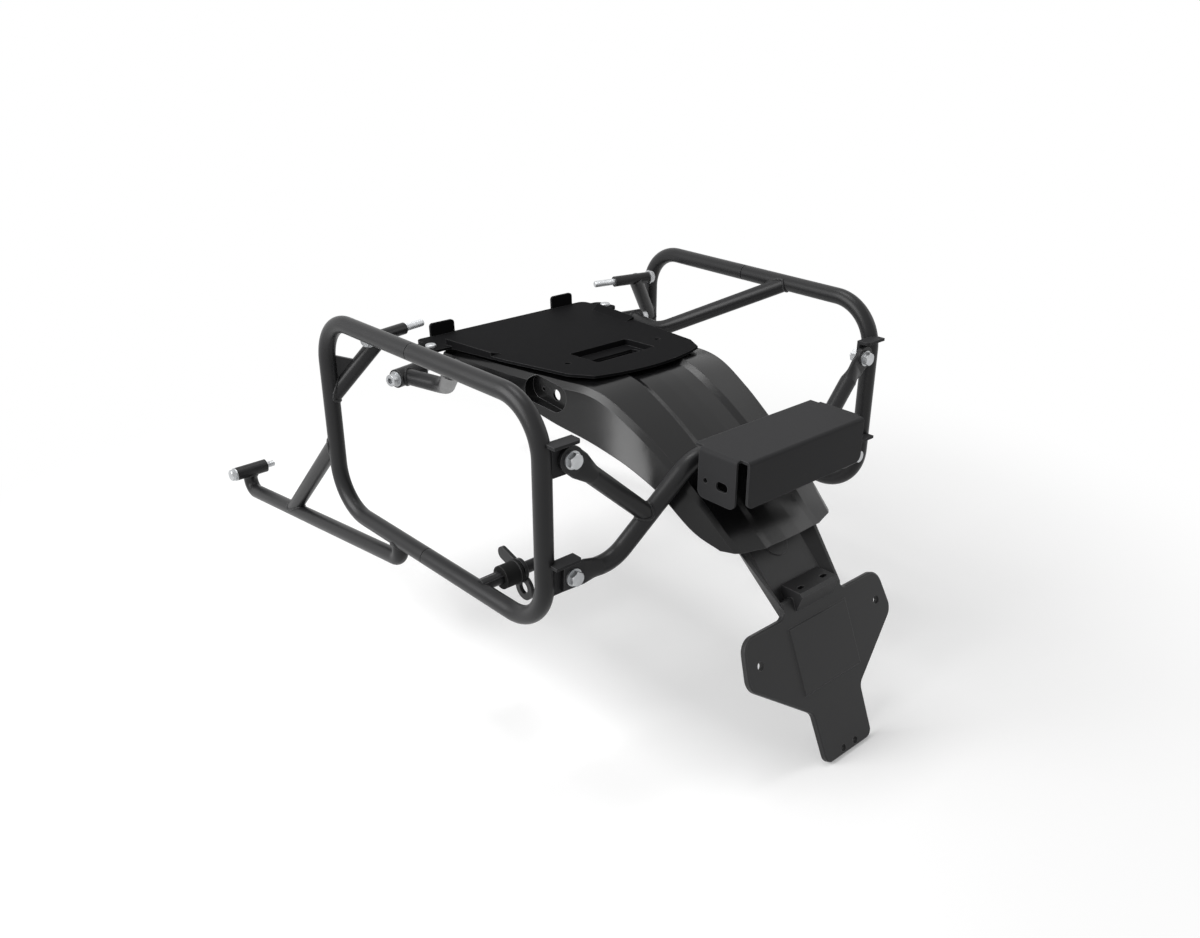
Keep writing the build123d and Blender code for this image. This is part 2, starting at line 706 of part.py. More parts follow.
def bent_block(
    half_width: float, front_y: float, rear_y: float, top_z: float, low_z: float, bend_r: float
):
    """Block with its side and rear top edges rounded as the sheet bends over it."""
    centre = Pos(0, (front_y + rear_y) / 2, (top_z + low_z) / 2)
    block = centre * Box(2 * half_width, front_y - rear_y, top_z - low_z)
    top_edges = block.edges().group_by(Axis.Z)[-1].sort_by(Axis.Y)[:-1]
    return fillet(top_edges, bend_r)


def flap_outline(width: float, drop: float):
    """Outline of a flap with its two lower corners rounded, its top edge through the origin."""
    flap = Pos(0, -drop / 2) * Rectangle(width, drop)
    return fillet(flap.vertices().group_by(Axis.Y)[0], BOX_CORNER_R)


def accessory_bracket():
    """Sheet bracket folded from one blank: a top, two side flaps and a rear flap."""
    low_z = BOX_TOP_Z - BOX_SIDE_DROP - BOX_THICKNESS
    outer = bent_block(
        BOX_HALF_WIDTH, BOX_FRONT_Y, BOX_REAR_Y, BOX_TOP_Z, low_z, BOX_BEND_R + BOX_THICKNESS
    )
    inner = bent_block(
        BOX_HALF_WIDTH - BOX_THICKNESS,
        BOX_FRONT_Y + BOX_THICKNESS,
        BOX_REAR_Y + BOX_THICKNESS,
        BOX_TOP_Z - BOX_THICKNESS,
        low_z - BOX_THICKNESS,
        BOX_BEND_R,
    )
    sheet = outer - inner
    depth = BOX_FRONT_Y - BOX_REAR_Y
    side_x = BOX_HALF_WIDTH - BOX_CORNER_INSET
    side_mid = (BOX_FRONT_Y + BOX_REAR_Y) / 2
    spare = 2 * BOX_CORNER_INSET
    side_plane = Plane(origin=(side_x, side_mid, BOX_TOP_Z), x_dir=(0, 1, 0), z_dir=(1, 0, 0))
    side_flap = flap_outline(depth - 2 * BOX_SIDE_SETBACK, BOX_SIDE_DROP)
    around = Rectangle(depth + spare, 3 * BOX_SIDE_DROP)
    side_waste = extrude(side_plane * (around - side_flap), spare)
    relief_y = BOX_REAR_Y + BOX_SIDE_SETBACK
    rear_plane = Plane(origin=(0, relief_y, BOX_TOP_Z), x_dir=(1, 0, 0), z_dir=(0, -1, 0))
    rear_flap = flap_outline(2 * side_x, BOX_REAR_DROP)
    around = Rectangle(2 * side_x + spare, 3 * BOX_REAR_DROP)
    rear_waste = extrude(rear_plane * (around - rear_flap), BOX_SIDE_SETBACK + spare)
    relief = Cylinder(BOX_RELIEF_D / 2, 2 * BOX_SIDE_DROP)
    slot = Plane(
        origin=(0, BOX_FRONT_Y - BOX_SIDE_SETBACK - BOX_SLOT_SETBACK, BOX_TOP_Z - BOX_HOLE_DROP),
        x_dir=(0, 1, 0),
        z_dir=(1, 0, 0),
    ) * SlotOverall(BOX_SLOT_LENGTH, BOX_SLOT_WIDTH)
    hole = Plane(
        origin=(0, BOX_FRONT_Y - BOX_SIDE_SETBACK - BOX_HOLE_SETBACK, BOX_TOP_Z - BOX_HOLE_DROP),
        x_dir=(0, 1, 0),
        z_dir=(1, 0, 0),
    ) * Circle(BOX_HOLE_D / 2)
    sheet -= extrude(slot, 2 * BOX_HALF_WIDTH, both=True)
    sheet -= extrude(hole, 2 * BOX_HALF_WIDTH, both=True)
    sheet = sheet - side_waste - mirrored(side_waste) - rear_waste
    for side in (-1, 1):
        sheet -= Pos(side * side_x, relief_y, low_z) * relief
    return largest(sheet)


def bracket_carrier():
    """Plate on edge from the crossbar back under the accessory bracket's top."""
    top = BOX_TOP_Z - BOX_THICKNESS
    bar_y, bar_z = CROSSBAR_TOP_CORNER[1:]
    front = BOX_FRONT_Y
    outline = Polyline(
        (bar_y, bar_z + TUBE_D / 2),
        (front, top),
        (front - CARRIER_LENGTH, top),
        (front - CARRIER_LENGTH, top - CARRIER_DEPTH),
        (front, bar_z - TUBE_D / 2),
        (bar_y, bar_z - TUBE_D / 2),
        close=True,
    )
    plane = Plane(origin=(CARRIER_X, 0, 0), x_dir=(0, 1, 0), z_dir=(1, 0, 0))
    plate = extrude(plane * make_face(outline), CARRIER_THICKNESS / 2, both=True)
    return largest(plate - rod(crossbar_path(), TUBE_D))


def deck_plane() -> Plane:
    """Plane of the deck's top face, its origin at the rear and its y axis forward."""
    tilt = radians(DECK_TILT)
    return Plane(origin=(0, DECK_REAR_Y, DECK_REAR_Z), x_dir=(1, 0, 0), z_dir=(0, sin(tilt), cos(tilt)))


def on_deck(x: float, y: float) -> tuple:
    """A place on the deck, given across and ahead of the origin, in the deck's own plane."""
    return x, (y - DECK_REAR_Y) / cos(radians(DECK_TILT))


def deck_top_z(y: float) -> float:
    """Height of the deck's top face."""
    return DECK_REAR_Z - (y - DECK_REAR_Y) * tan(radians(DECK_TILT))


def deck_underside_z(y: float) -> float:
    """Height of the deck's lower face."""
    return deck_top_z(y) - DECK_THICKNESS / cos(radians(DECK_TILT))


def deck_rectangle(half_width: float, front_y: float, rear_y: float, corner_r: float):
    """Rounded rectangle in the deck's plane, symmetric about the centre."""
    front = on_deck(0, front_y)[1]
    rear = on_deck(0, rear_y)[1]
    return Pos(0, (front + rear) / 2) * RectangleRounded(2 * half_width, front - rear, corner_r)


def deck_half_outline() -> list:
    """Corners of the deck's right edge, from the rear to the front."""
    front = [(DECK_FRONT_X, DECK_SHOULDER[1]), (DECK_FRONT_X, DECK_FRONT_Y)]
    points = [DECK_REAR_CORNER, DECK_HIP, DECK_WAIST, DECK_SHOULDER, *front]
    return [on_deck(*point) for point in points]


def deck_sketch():
    """Plan outline of the deck with its curved rear edge."""
    right = deck_half_outline()
    left = [(-x, y) for x, y in reversed(right)]
    rear = on_deck(0, DECK_REAR_Y)[1] - DECK_REAR_BULGE
    edges = Polyline(*right, *left) + ThreePointArc(left[-1], (0, rear), right[0])
    sheet = make_face(edges)
    corners = [vertex for vertex in sheet.vertices() if vertex.Y > on_deck(0, DECK_SHOULDER[1] + 1)[1]]
    return fillet(corners, DECK_CORNER_R)


def deck_ear():
    """Ear beside the deck's shoulder with its bolt hole."""
    inner = DECK_WAIST[0] - DECK_EAR_R
    centre = on_deck((inner + DECK_EAR_X) / 2, DECK_EAR_Y)
    ear = Pos(*centre) * RectangleRounded(DECK_EAR_X - inner, DECK_EAR_LENGTH, DECK_EAR_R)
    return ear - Pos(*on_deck(EAR_BOLT_X, EAR_BOLT_Y)) * Circle(EAR_BOLT_HOLE_D / 2)


def deck_tab():
    """Upright tab on the deck's front edge."""
    width = DECK_TAB_OUTER_X - DECK_TAB_INNER_X
    front = on_deck(0, DECK_FRONT_Y)[1]
    plane = Plane(
        origin=((DECK_TAB_INNER_X + DECK_TAB_OUTER_X) / 2, front, -DECK_THICKNESS),
        x_dir=(1, 0, 0),
        z_dir=(0, -1, 0),
    )
    height = DECK_TAB_HEIGHT + DECK_THICKNESS
    sheet = Pos(0, height / 2) * Rectangle(width, height)
    sheet = fillet(sheet.vertices().group_by(Axis.Y)[-1], DECK_TAB_R)
    return extrude(plane * sheet, DECK_THICKNESS)


def deck_edge_x(y: float) -> float:
    """Half width of the deck between its waist and its shoulder."""
    share = (y - DECK_WAIST[1]) / (DECK_SHOULDER[1] - DECK_WAIST[1])
    return DECK_WAIST[0] + share * (DECK_SHOULDER[0] - DECK_WAIST[0])


def rail_section(end: dict):
    """Cross-section of the turned-up edge: it rises from its inner foot to the deck's edge."""
    y = on_deck(0, end["y"])[1]
    edge = deck_edge_x(end["y"])
    return make_face(Polyline((end["inner"], y, 0), (edge, y, 0), (edge, y, end["height"]), close=True))


def deck_rail():
    """Edge of the deck's front half, turned up towards the outside."""
    return loft([rail_section(end) for end in DECK_RAIL_ENDS], ruled=True)


def seat_deck():
    """Deck plate with its recessed tray, front tabs, ears and turned-up edges."""
    flat = deck_sketch()
    for side in (deck_ear(), mirror(deck_ear(), about=Plane.YZ)):
        flat += side
    plate = extrude(flat, -DECK_THICKNESS)
    for piece in (deck_tab(), deck_rail()):
        plate = plate + piece + mirrored(piece)
    wall = deck_rectangle(DECK_POCKET_HALF_WIDTH, DECK_POCKET_FRONT_Y, DECK_POCKET_REAR_Y, DECK_POCKET_R)
    inner_wall = deck_rectangle(
        DECK_POCKET_HALF_WIDTH - DECK_THICKNESS,
        DECK_POCKET_FRONT_Y - DECK_THICKNESS,
        DECK_POCKET_REAR_Y + DECK_THICKNESS,
        DECK_POCKET_R - DECK_THICKNESS,
    )
    opening = deck_rectangle(
        DECK_OPENING_HALF_WIDTH, DECK_OPENING_FRONT_Y, DECK_OPENING_REAR_Y, DECK_THICKNESS
    )
    plate += extrude(wall, -DECK_POCKET_DEPTH - DECK_THICKNESS)
    plate -= extrude(inner_wall, -DECK_POCKET_DEPTH)
    plate -= extrude(opening, -2 * DECK_POCKET_DEPTH)
    for side in (-1, 1):
        seat_hole = Cylinder(DECK_HOLE_D / 2, 3 * DECK_THICKNESS)
        plate -= Pos(*on_deck(side * DECK_HOLE_X, DECK_HOLE_Y)) * seat_hole
    return (deck_plane() * plate).solid()


def ear_bolt_seat() -> Plane:
    """Plane on the deck's top face at an ear bolt, its normal up along the bolt."""
    plane = deck_plane()
    return Plane(
        origin=plane.from_local_coords(Vector(*on_deck(EAR_BOLT_X, EAR_BOLT_Y))),
        x_dir=plane.x_dir,
        z_dir=plane.z_dir,
    )


def deck_bolt():
    """Button head bolt in the deck's ear."""
    seat = ear_bolt_seat()
    head = extrude(seat * Circle(EAR_BOLT_HEAD_D / 2), EAR_BOLT_HEAD_H)
    head = fillet(far_circle(head, seat.origin), EAR_BOLT_HEAD_H / 2)
    return head + shank(Plane(origin=seat.origin, z_dir=-seat.z_dir), EAR_BOLT_D, EAR_BOLT_LENGTH)


def deck_bolt_nut():
    """Nut under the deck's ear."""
    seat = ear_bolt_seat()
    start = along(seat.origin, -seat.z_dir, DECK_THICKNESS)
    return hex_nut(start, -seat.z_dir, EAR_BOLT_D, EAR_NUT_AF, EAR_NUT_H)


def measured_stations() -> list:
    """The fender's rows as tuples, front to rear, in the order that half_profile takes."""
    rows = []
    for row in UNDER_DECK_STATIONS + TAIL_STATIONS:
        under_deck = deck_underside_z(row["y"]) - CHANNEL_DEPTH - FENDER_SEAT_GAP
        spine = row.get("spine", under_deck)
        drop = row.get("drop", SHOULDER_DROP)
        rise = row.get("rise", CHANNEL_DEPTH)
        rows.append((row["y"], spine, row["shoulder"], row["step"], drop, rise, *row["foot"]))
    return rows


def fair_curve(places: list, values: list, place: float) -> float:
    """Value at a place on the smooth curve through measured values."""
    last = len(places) - 1
    index = max(i for i in range(last) if places[i] >= place)
    slopes = []
    for i in (index, index + 1):
        before, after = max(i - 1, 0), min(i + 1, last)
        slopes.append((values[after] - values[before]) / (places[after] - places[before]))
    run = places[index + 1] - places[index]
    t = (place - places[index]) / run
    rise = values[index + 1] - values[index]
    start_pull = t * (1 - t) ** 2 * (slopes[0] * run - rise)
    end_pull = t**2 * (1 - t) * (slopes[1] * run - rise)
    return values[index] + t * rise + start_pull - end_pull


def fender_stations() -> list:
    """Evenly spaced stations on the fair curves through the measured rows."""
    columns = [list(column) for column in zip(*measured_stations())]
    places = columns[0]
    steps = round((places[0] - places[-1]) / STATION_SPACING)
    rows = []
    for step in range(steps + 1):
        y = places[0] + (places[-1] - places[0]) * step / steps
        rows.append((y, *[fair_curve(places, column, y) for column in columns[1:]]))
    return rows


def half_profile(row: tuple, inset: float) -> list:
    """Right half of the fender's cross-section at one station, inset by the wall for the inside."""
    outer_spine, edge, step, drop, rise, foot_x, foot_z = row[1:]
    spine = outer_spine - inset
    edge_z = spine - drop
    return [
        (CHANNEL_HALF_FLAT, spine),
        (CHANNEL_HALF_WIDTH, spine - CHANNEL_SAG),
        (CHANNEL_HALF_WIDTH + CHANNEL_SIDE_RUN, spine + rise),
        (edge - inset / 2, edge_z),
        (edge + GROOVE_RUN - inset, edge_z - step + inset / 2),
        (foot_x - inset, foot_z - 3 * inset),
    ]


@cache
def fender_form(inset: float) -> Solid:
    """Solid bounded by the fender's outer surface, or by its inner surface when inset."""
    sections = []
    for row in fender_stations():
        right = half_profile(row, inset)
        left = [(-x, z) for x, z in reversed(right)]
        points = [(x, row[0], z) for x, z in left + right]
        sections.append(make_face(Polyline(*points, close=True)))
    return loft(sections).solid()


def skirt_pocket(growth: float, floor_x: float):
    """Obround recess in the right skirt, grown by a wall and reaching in to a floor."""
    plane = Plane(origin=(floor_x, *POCKET_CENTRE), x_dir=(0, 1, 0), z_dir=(1, 0, 0))
    slot = SlotOverall(POCKET_LENGTH + 2 * growth, POCKET_HEIGHT + 2 * growth)
    outline = Rot(0, 0, POCKET_TILT) * slot
    return extrude(plane * outline, POCKET_FLOOR_X)


def skirt_hole(offset: float, diameter: float):
    """Hole through the pocket's floor, off its centre along its length."""
    tilt = radians(POCKET_TILT)
    y = POCKET_CENTRE[0] + offset * cos(tilt)
    z = POCKET_CENTRE[1] + offset * sin(tilt)
    return Pos(POCKET_FLOOR_X, y, z) * Rot(0, 90, 0) * Cylinder(diameter / 2, POCKET_LENGTH)


def tray_relief():
    """Opening in the fender's top that clears the deck's tray."""
    outline = deck_rectangle(
        DECK_POCKET_HALF_WIDTH + TRAY_CLEARANCE,
        DECK_POCKET_FRONT_Y + TRAY_CLEARANCE,
        DECK_POCKET_REAR_Y - TRAY_CLEARANCE,
        DECK_POCKET_R,
    )
    return deck_plane() * extrude(outline, -3 * DECK_POCKET_DEPTH)


def below_lip():
    """Block under the level cut that ends the fender at its lip."""
    front, rear = TAIL_STATIONS[1], TAIL_STATIONS[-1]
    length = 2 * (front["y"] - rear["y"])
    depth = FENDER_LIP_Z - rear["foot"][1] + 2 * TUBE_D
    return Pos(0, rear["y"], FENDER_LIP_Z - depth / 2) * Box(4 * rear["shoulder"], length, depth)


def boss_rod(side: int, diameter: float):
    """Round bar on the axis of a boss, from the arm's floor up through the fender."""
    foot = arm_plane().offset(-ARM_FLOOR_DEPTH) * Pos(side * BOSS_X, -BOSS_OFFSET)
    return extrude(foot * Circle(diameter / 2), 2 * (ARM_DEPTH + ARM_FLOOR_DEPTH))


def fender():
    """Rear fender: channelled top, stepped shoulders, side skirts with a pocket, and a cut lip."""
    inside = fender_form(FENDER_WALL)
    pan = skirt_pocket(FENDER_WALL, POCKET_FLOOR_X - FENDER_WALL)
    inside = inside - pan - mirrored(pan)
    for side in (-1, 1):
        inside -= boss_rod(side, BOSS_D)
    shell = fender_form(0) - inside - tray_relief()
    holes = [
        skirt_pocket(0, POCKET_FLOOR_X),
        skirt_hole(POCKET_HOLE_OFFSET, POCKET_HOLE_D),
        skirt_hole(POCKET_PIN_OFFSET, POCKET_PIN_HOLE_D),
    ]
    for hole in holes:
        shell = shell - hole - mirrored(hole)
    for side in (-1, 1):
        screw_place = mount_axis_plane(side) * Pos(0, 0, -mount_reach())
        shell -= screw_place * Cylinder(FENDER_SCREW_HOLE_D / 2, TUBE_D)
        shell -= boss_screw_rod(side)
    lip_waste = below_lip() - boss_rod(-1, BOSS_D) - boss_rod(1, BOSS_D)
    return largest(shell - lip_waste)


def boss_screw_rod(side: int):
    """Thread of a boss screw, from its head's seat under the arm up into the boss."""
    seat = arm_plane().offset(-ARM_DEPTH) * Pos(side * BOSS_X, -BOSS_OFFSET)
    return extrude(seat * Circle(FENDER_SCREW_D / 2), ARM_DEPTH - ARM_FLOOR_DEPTH + BOSS_SCREW_DEPTH)


def boss_screw(side: int):
    """Screw from under the arm up into a boss of the fender."""
    seat = arm_plane().offset(-ARM_DEPTH) * Pos(side * BOSS_X, -BOSS_OFFSET)
    head = extrude(seat * Circle(FENDER_SCREW_HEAD_D / 2), -FENDER_SCREW_HEAD_H)
    return head + boss_screw_rod(side)


def rubber_mount(side: int):
    """Rubber block between the crossbar and the fender, shaped to both."""
    seat = mount_axis_plane(side)
    middle = seat * Pos(0, 0, -mount_reach() / 2)
    block = middle * Cylinder(RUBBER_MOUNT_D / 2, mount_reach() + CHANNEL_DEPTH)
    block -= seat * Cylinder(FENDER_SCREW_HOLE_D / 2, 6 * TUBE_D)
    return largest(block - rod(crossbar_path(), TUBE_D) - fender_form(0))


def fender_screw(side: int):
    """Screw through the crossbar, the rubber mount and the fender."""
    seat = mount_axis_plane(side).offset(TUBE_D / 2)
    head = extrude(seat * Circle(FENDER_SCREW_HEAD_D / 2), FENDER_SCREW_HEAD_H)
    length = TUBE_D / 2 + mount_reach() + FENDER_WALL + NUT_H
    return head + shank(Plane(origin=seat.origin, z_dir=-seat.z_dir), FENDER_SCREW_D, length)


def fender_nut(side: int):
    """Nut inside the fender, bedded on its inner face."""
    axis = mount_axis_plane(side)
    start = along(axis.origin, -axis.z_dir, mount_reach())
    blank = hex_nut(start, -axis.z_dir, FENDER_SCREW_D, FENDER_NUT_AF, FENDER_WALL + FENDER_NUT_H)
    return largest(blank & fender_form(FENDER_WALL))


def arm_plane() -> Plane:
    """Plane of the arm's rim: origin at its top end, y axis up the arm, normal up and rearward."""
    lean = radians(ARM_LEAN)
    return Plane(origin=(0, *ARM_TOP), x_dir=(1, 0, 0), z_dir=(0, -sin(lean), cos(lean)))


def arm_outline(top_half: float, low_half: float, overrun: float = 0):
    """Tapered outline across the arm at one depth."""
    low = -ARM_LENGTH - overrun
    return make_face(
        Polyline((-top_half, overrun), (top_half, overrun), (low_half, low), (-low_half, low), close=True)
    )


def arm_channel():
    """Channel with flared walls, open to the rear, that drops from under the fender's lip."""
    rim = arm_outline(ARM_RIM_TOP, ARM_RIM_LOW)
    belly = Pos(0, 0, -ARM_DEPTH) * arm_outline(ARM_BELLY_TOP, ARM_BELLY_LOW)
    mouth = arm_outline(ARM_RIM_TOP - ARM_WALL, ARM_RIM_LOW - ARM_WALL, ARM_WALL)
    low = Pos(0, 0, -ARM_FLOOR_DEPTH)
    floor = low * arm_outline(ARM_FLOOR_HALF_WIDTH, ARM_FLOOR_HALF_WIDTH - 1, ARM_WALL)
    channel = loft([rim, belly], ruled=True) - loft([mouth, floor], ruled=True)
    channel += Pos(0, -DISC_OFFSET, DISC_HEIGHT / 2 - ARM_FLOOR_DEPTH) * Cylinder(DISC_D / 2, DISC_HEIGHT)
    return arm_plane() * channel


def holder_plane() -> Plane:
    """Plane of the holder's rear face: origin between its upper holes, y axis up the plate."""
    tilt = radians(HOLDER_TILT)
    origin = (0, HOLDER_HOLE_Y, HOLDER_HOLE_Z)
    return Plane(origin=origin, x_dir=(1, 0, 0), z_dir=(0, -cos(tilt), sin(tilt)))


def holder_sketch():
    """Outline of the plate: a neck, two round-ended wings and a narrow foot."""
    neck_x, neck_top = HOLDER_NECK
    corners = [
        (HOLDER_NECK, 0),
        ((neck_x, HOLDER_SHOULDER), HOLDER_NECK_R),
        ((HOLDER_WING_TOP_X, HOLDER_SHOULDER), HOLDER_WING_R),
        (HOLDER_WING_TIP, HOLDER_WING_R),
        (HOLDER_WAIST, HOLDER_WAIST_R),
        (HOLDER_FOOT, HOLDER_FOOT_R),
    ]
    right = [point for point, radius in corners]
    left = [(-x, y) for x, y in reversed(right)]
    sheet = make_face(Polyline(*right, *left, close=True))
    for (x, y), radius in corners[1:]:
        pair = [vertex for vertex in sheet.vertices() if abs(abs(vertex.X) - x) + abs(vertex.Y - y) < 0.01]
        sheet = fillet(pair, radius)
    return sheet


def shelf_wedge():
    """Shelf across the foot of the channel, with a face sloping down to the plate."""
    plane = holder_plane()
    foot = plane.from_local_coords(Vector(0, SHELF_FOOT, 0))
    buried = plane.from_local_coords(Vector(0, SHELF_FOOT, -HOLDER_THICKNESS))
    outline = Polyline(
        (SHELF_FRONT_Y, SHELF_TOP_Z),
        (SHELF_REAR_Y + SHELF_BEVEL, SHELF_TOP_Z),
        (SHELF_REAR_Y, SHELF_TOP_Z - SHELF_BEVEL),
        (foot.Y, foot.Z),
        (buried.Y, buried.Z),
        (SHELF_FRONT_Y, SHELF_TOP_Z - ARM_FLOOR_DEPTH),
        close=True,
    )
    side_plane = Plane(origin=(0, 0, 0), x_dir=(0, 1, 0), z_dir=(1, 0, 0))
    return extrude(side_plane * make_face(outline), SHELF_HALF_WIDTH, both=True)


def shelf_slot(side: int):
    """Slot down through the shelf."""
    place = Pos(side * SHELF_SLOT_X, SHELF_SLOT_Y, SHELF_TOP_Z)
    return place * extrude(SlotOverall(SHELF_SLOT_LENGTH, SHELF_SLOT_WIDTH), -2 * ARM_DEPTH)


def plate_holder():
    """Number plate holder: the channelled arm, its shelf and the plate as one moulding."""
    plane = holder_plane()
    plate = extrude(holder_sketch(), -HOLDER_THICKNESS)
    rear_rim = plate.edges().group_by(Axis.Z)[-1]
    plate = chamfer(rear_rim, HOLDER_BEVEL)
    pad_height = PAD_TOP - PAD_BOTTOM
    pad = Pos(0, (PAD_TOP + PAD_BOTTOM) / 2) * Rectangle(2 * PAD_HALF_WIDTH, pad_height)
    pad_top = Pos(0, (PAD_TOP + PAD_BOTTOM) / 2, PAD_RAISE) * Rectangle(
        2 * (PAD_HALF_WIDTH - PAD_RAISE), pad_height - 2 * PAD_RAISE
    )
    plate += loft([pad, pad_top], ruled=True)
    for side in (-1, 1):
        plate -= Pos(side * HOLDER_HOLE_X, 0) * Cylinder(HOLDER_HOLE_D / 2, 4 * HOLDER_THICKNESS)
        plate -= Pos(side * FOOT_HOLE_X, FOOT_HOLE) * Cylinder(FOOT_HOLE_D / 2, 4 * HOLDER_THICKNESS)
    behind = plane * extrude(Rectangle(4 * HOLDER_HOLE_X, 4 * HOLDER_HOLE_X), 4 * ARM_DEPTH)
    body = arm_channel() - behind + shelf_wedge() + plane * plate
    for side in (-1, 1):
        body -= shelf_slot(side)
        seat = arm_plane() * Pos(side * BOSS_X, -BOSS_OFFSET)
        body -= seat * Cylinder(FENDER_SCREW_HOLE_D / 2, 3 * ARM_DEPTH)
    return largest(body)


def latch_root() -> Vector:
    """Centre of the lower hoop tube where the latch bar leaves it."""
    return Vector(hoop_x(LATCH_Y), LATCH_Y, LATCH_Z)


def latch_bar():
    """Bar from the lower hoop tube inboard through the bush and the lever."""
    bar = rod(Line(latch_root(), (LATCH_BAR_END_X, LATCH_Y, LATCH_Z)), LATCH_BAR_D)
    bar = chamfer(far_circle(bar, latch_root()), BOLT_BEVEL)
    return largest(bar - rear_hoop_rod())


def latch_bush():
    """Rubber bush with a flange, pushed on the bar beside the hoop."""
    start = (LATCH_BUSH_X, LATCH_Y, LATCH_Z)
    bore = LATCH_BAR_D + 2 * LATCH_FIT
    body = ring(start, (-1, 0, 0), LATCH_BUSH_D, bore, LATCH_BUSH_LENGTH)
    flange_start = (LATCH_BUSH_X - LATCH_BUSH_LENGTH, LATCH_Y, LATCH_Z)
    body = fillet(body.edges().filter_by(GeomType.CIRCLE).sort_by(Axis.X)[-1:], BOLT_BEVEL)
    return body + ring(flange_start, (-1, 0, 0), LATCH_FLANGE_D, bore, LATCH_FLANGE_LENGTH)


def latch_lever():
    """Flat lever on the bar, with a ring eye at one end and a round nose at the other."""
    plane = Plane(origin=(LATCH_LEVER_X, 0, 0), x_dir=(0, 1, 0), z_dir=(1, 0, 0))
    hub = (LATCH_Y, LATCH_Z)
    outline = Pos(*hub) * Circle(LATCH_HUB_D / 2)
    outline += Pos(*LATCH_EYE) * Circle(LATCH_EYE_D / 2)
    outline += Pos(*LATCH_NOSE) * Circle(LATCH_NOSE_D / 2)
    outline += make_hull(
        (Pos(*hub) * Circle(LATCH_NOSE_D / 2) + Pos(*LATCH_NOSE) * Circle(LATCH_NOSE_D / 2)).edges()
    )
    outline -= Pos(*LATCH_EYE) * Circle(LATCH_EYE_HOLE_D / 2)
    outline -= Pos(*hub) * Circle(LATCH_BAR_D / 2 + LATCH_FIT)
    return extrude(plane * outline, -LATCH_LEVER_THICKNESS)


def save(name: str, *pieces) -> None:
    """Write one node, as one solid or as a group of separate solids."""
    solids = [solid for piece in pieces for solid in piece.solids()]
    export_step(solids[0] if len(solids) == 1 else Compound(solids), f"parts/{name}.step")


def save_pair(name: str, right) -> None:
    """Write a right-hand piece and its left-hand mirror image as two nodes."""
    save(f"{name}_right", right)
    save(f"{name}_left", mirrored(right))


def save_both(name: str, *right) -> None:
    """Write right-hand fasteners and their mirror images as one node."""
    save(name, *right, *[mirrored(piece) for piece in right])


def main() -> None:
    """Build every piece and write its STEP file."""
    os.makedirs("parts", exist_ok=True)
    pairs = {
        "hoop_front": hoop_front(),
        "hoop_rear": hoop_rear(),
        "front_stay": front_stay(),
        "front_sleeve": front_sleeve(),
        "front_gusset": front_gusset(),
        "mid_strut": mid_strut(),
        "mid_sleeve": mid_sleeve(),
        "lower_arm": lower_arm(),
        "lower_brace": lower_brace(),
        "lower_sleeve": lower_sleeve(),
        "bracket_upper": rear_bracket(REAR_UPPER_Z),
        "bracket_lower": rear_bracket(REAR_LOWER_Z),
        "short_strut": short_strut(),
        "bracket_carrier": bracket_carrier(),
        "latch_bar": latch_bar(),
        "latch_bush": latch_bush(),
        "latch_lever": latch_lever(),
    }
    for name, right in pairs.items():
        save_pair(name, right)

    rear_sets = [rear_stack(bolt_z) for bolt_z in (REAR_UPPER_Z, REAR_LOWER_Z)]
    groups = {
        "hoop_spigots": hoop_spigots(),
        "front_mount_bolts": [front_mount_bolt()],
        "front_mount_washers": [front_mount_washer()],
        "mid_mount_bolts": [mid_mount_bolt()],
        "mid_mount_washers": [mid_mount_washer()],
        "lower_mount_bolts": [lower_mount_bolt()],
        "lower_mount_washers": [lower_mount_washer()],
        "rear_washers": [stack[0] for stack in rear_sets],
        "rear_bolts": [stack[1] for stack in rear_sets],
        "rear_nuts": [stack[2] for stack in rear_sets],
        "deck_bolts": [deck_bolt()],
        "deck_bolt_nuts": [deck_bolt_nut()],
        "rubber_mounts": [rubber_mount(1)],
        "fender_screws": [fender_screw(1)],
        "fender_nuts": [fender_nut(1)],
        "holder_screws": [boss_screw(1)],
    }
    for name, pieces in groups.items():
        save_both(name, *pieces)

    save("crossbar", crossbar())
    save("accessory_bracket", accessory_bracket())
    save("seat_deck", seat_deck())
    save("fender", fender())
    save("plate_holder", plate_holder())


if __name__ == "__main__":
    main()
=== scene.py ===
import logging
from dataclasses import dataclass
from enum import Enum
from math import pi, radians, sin

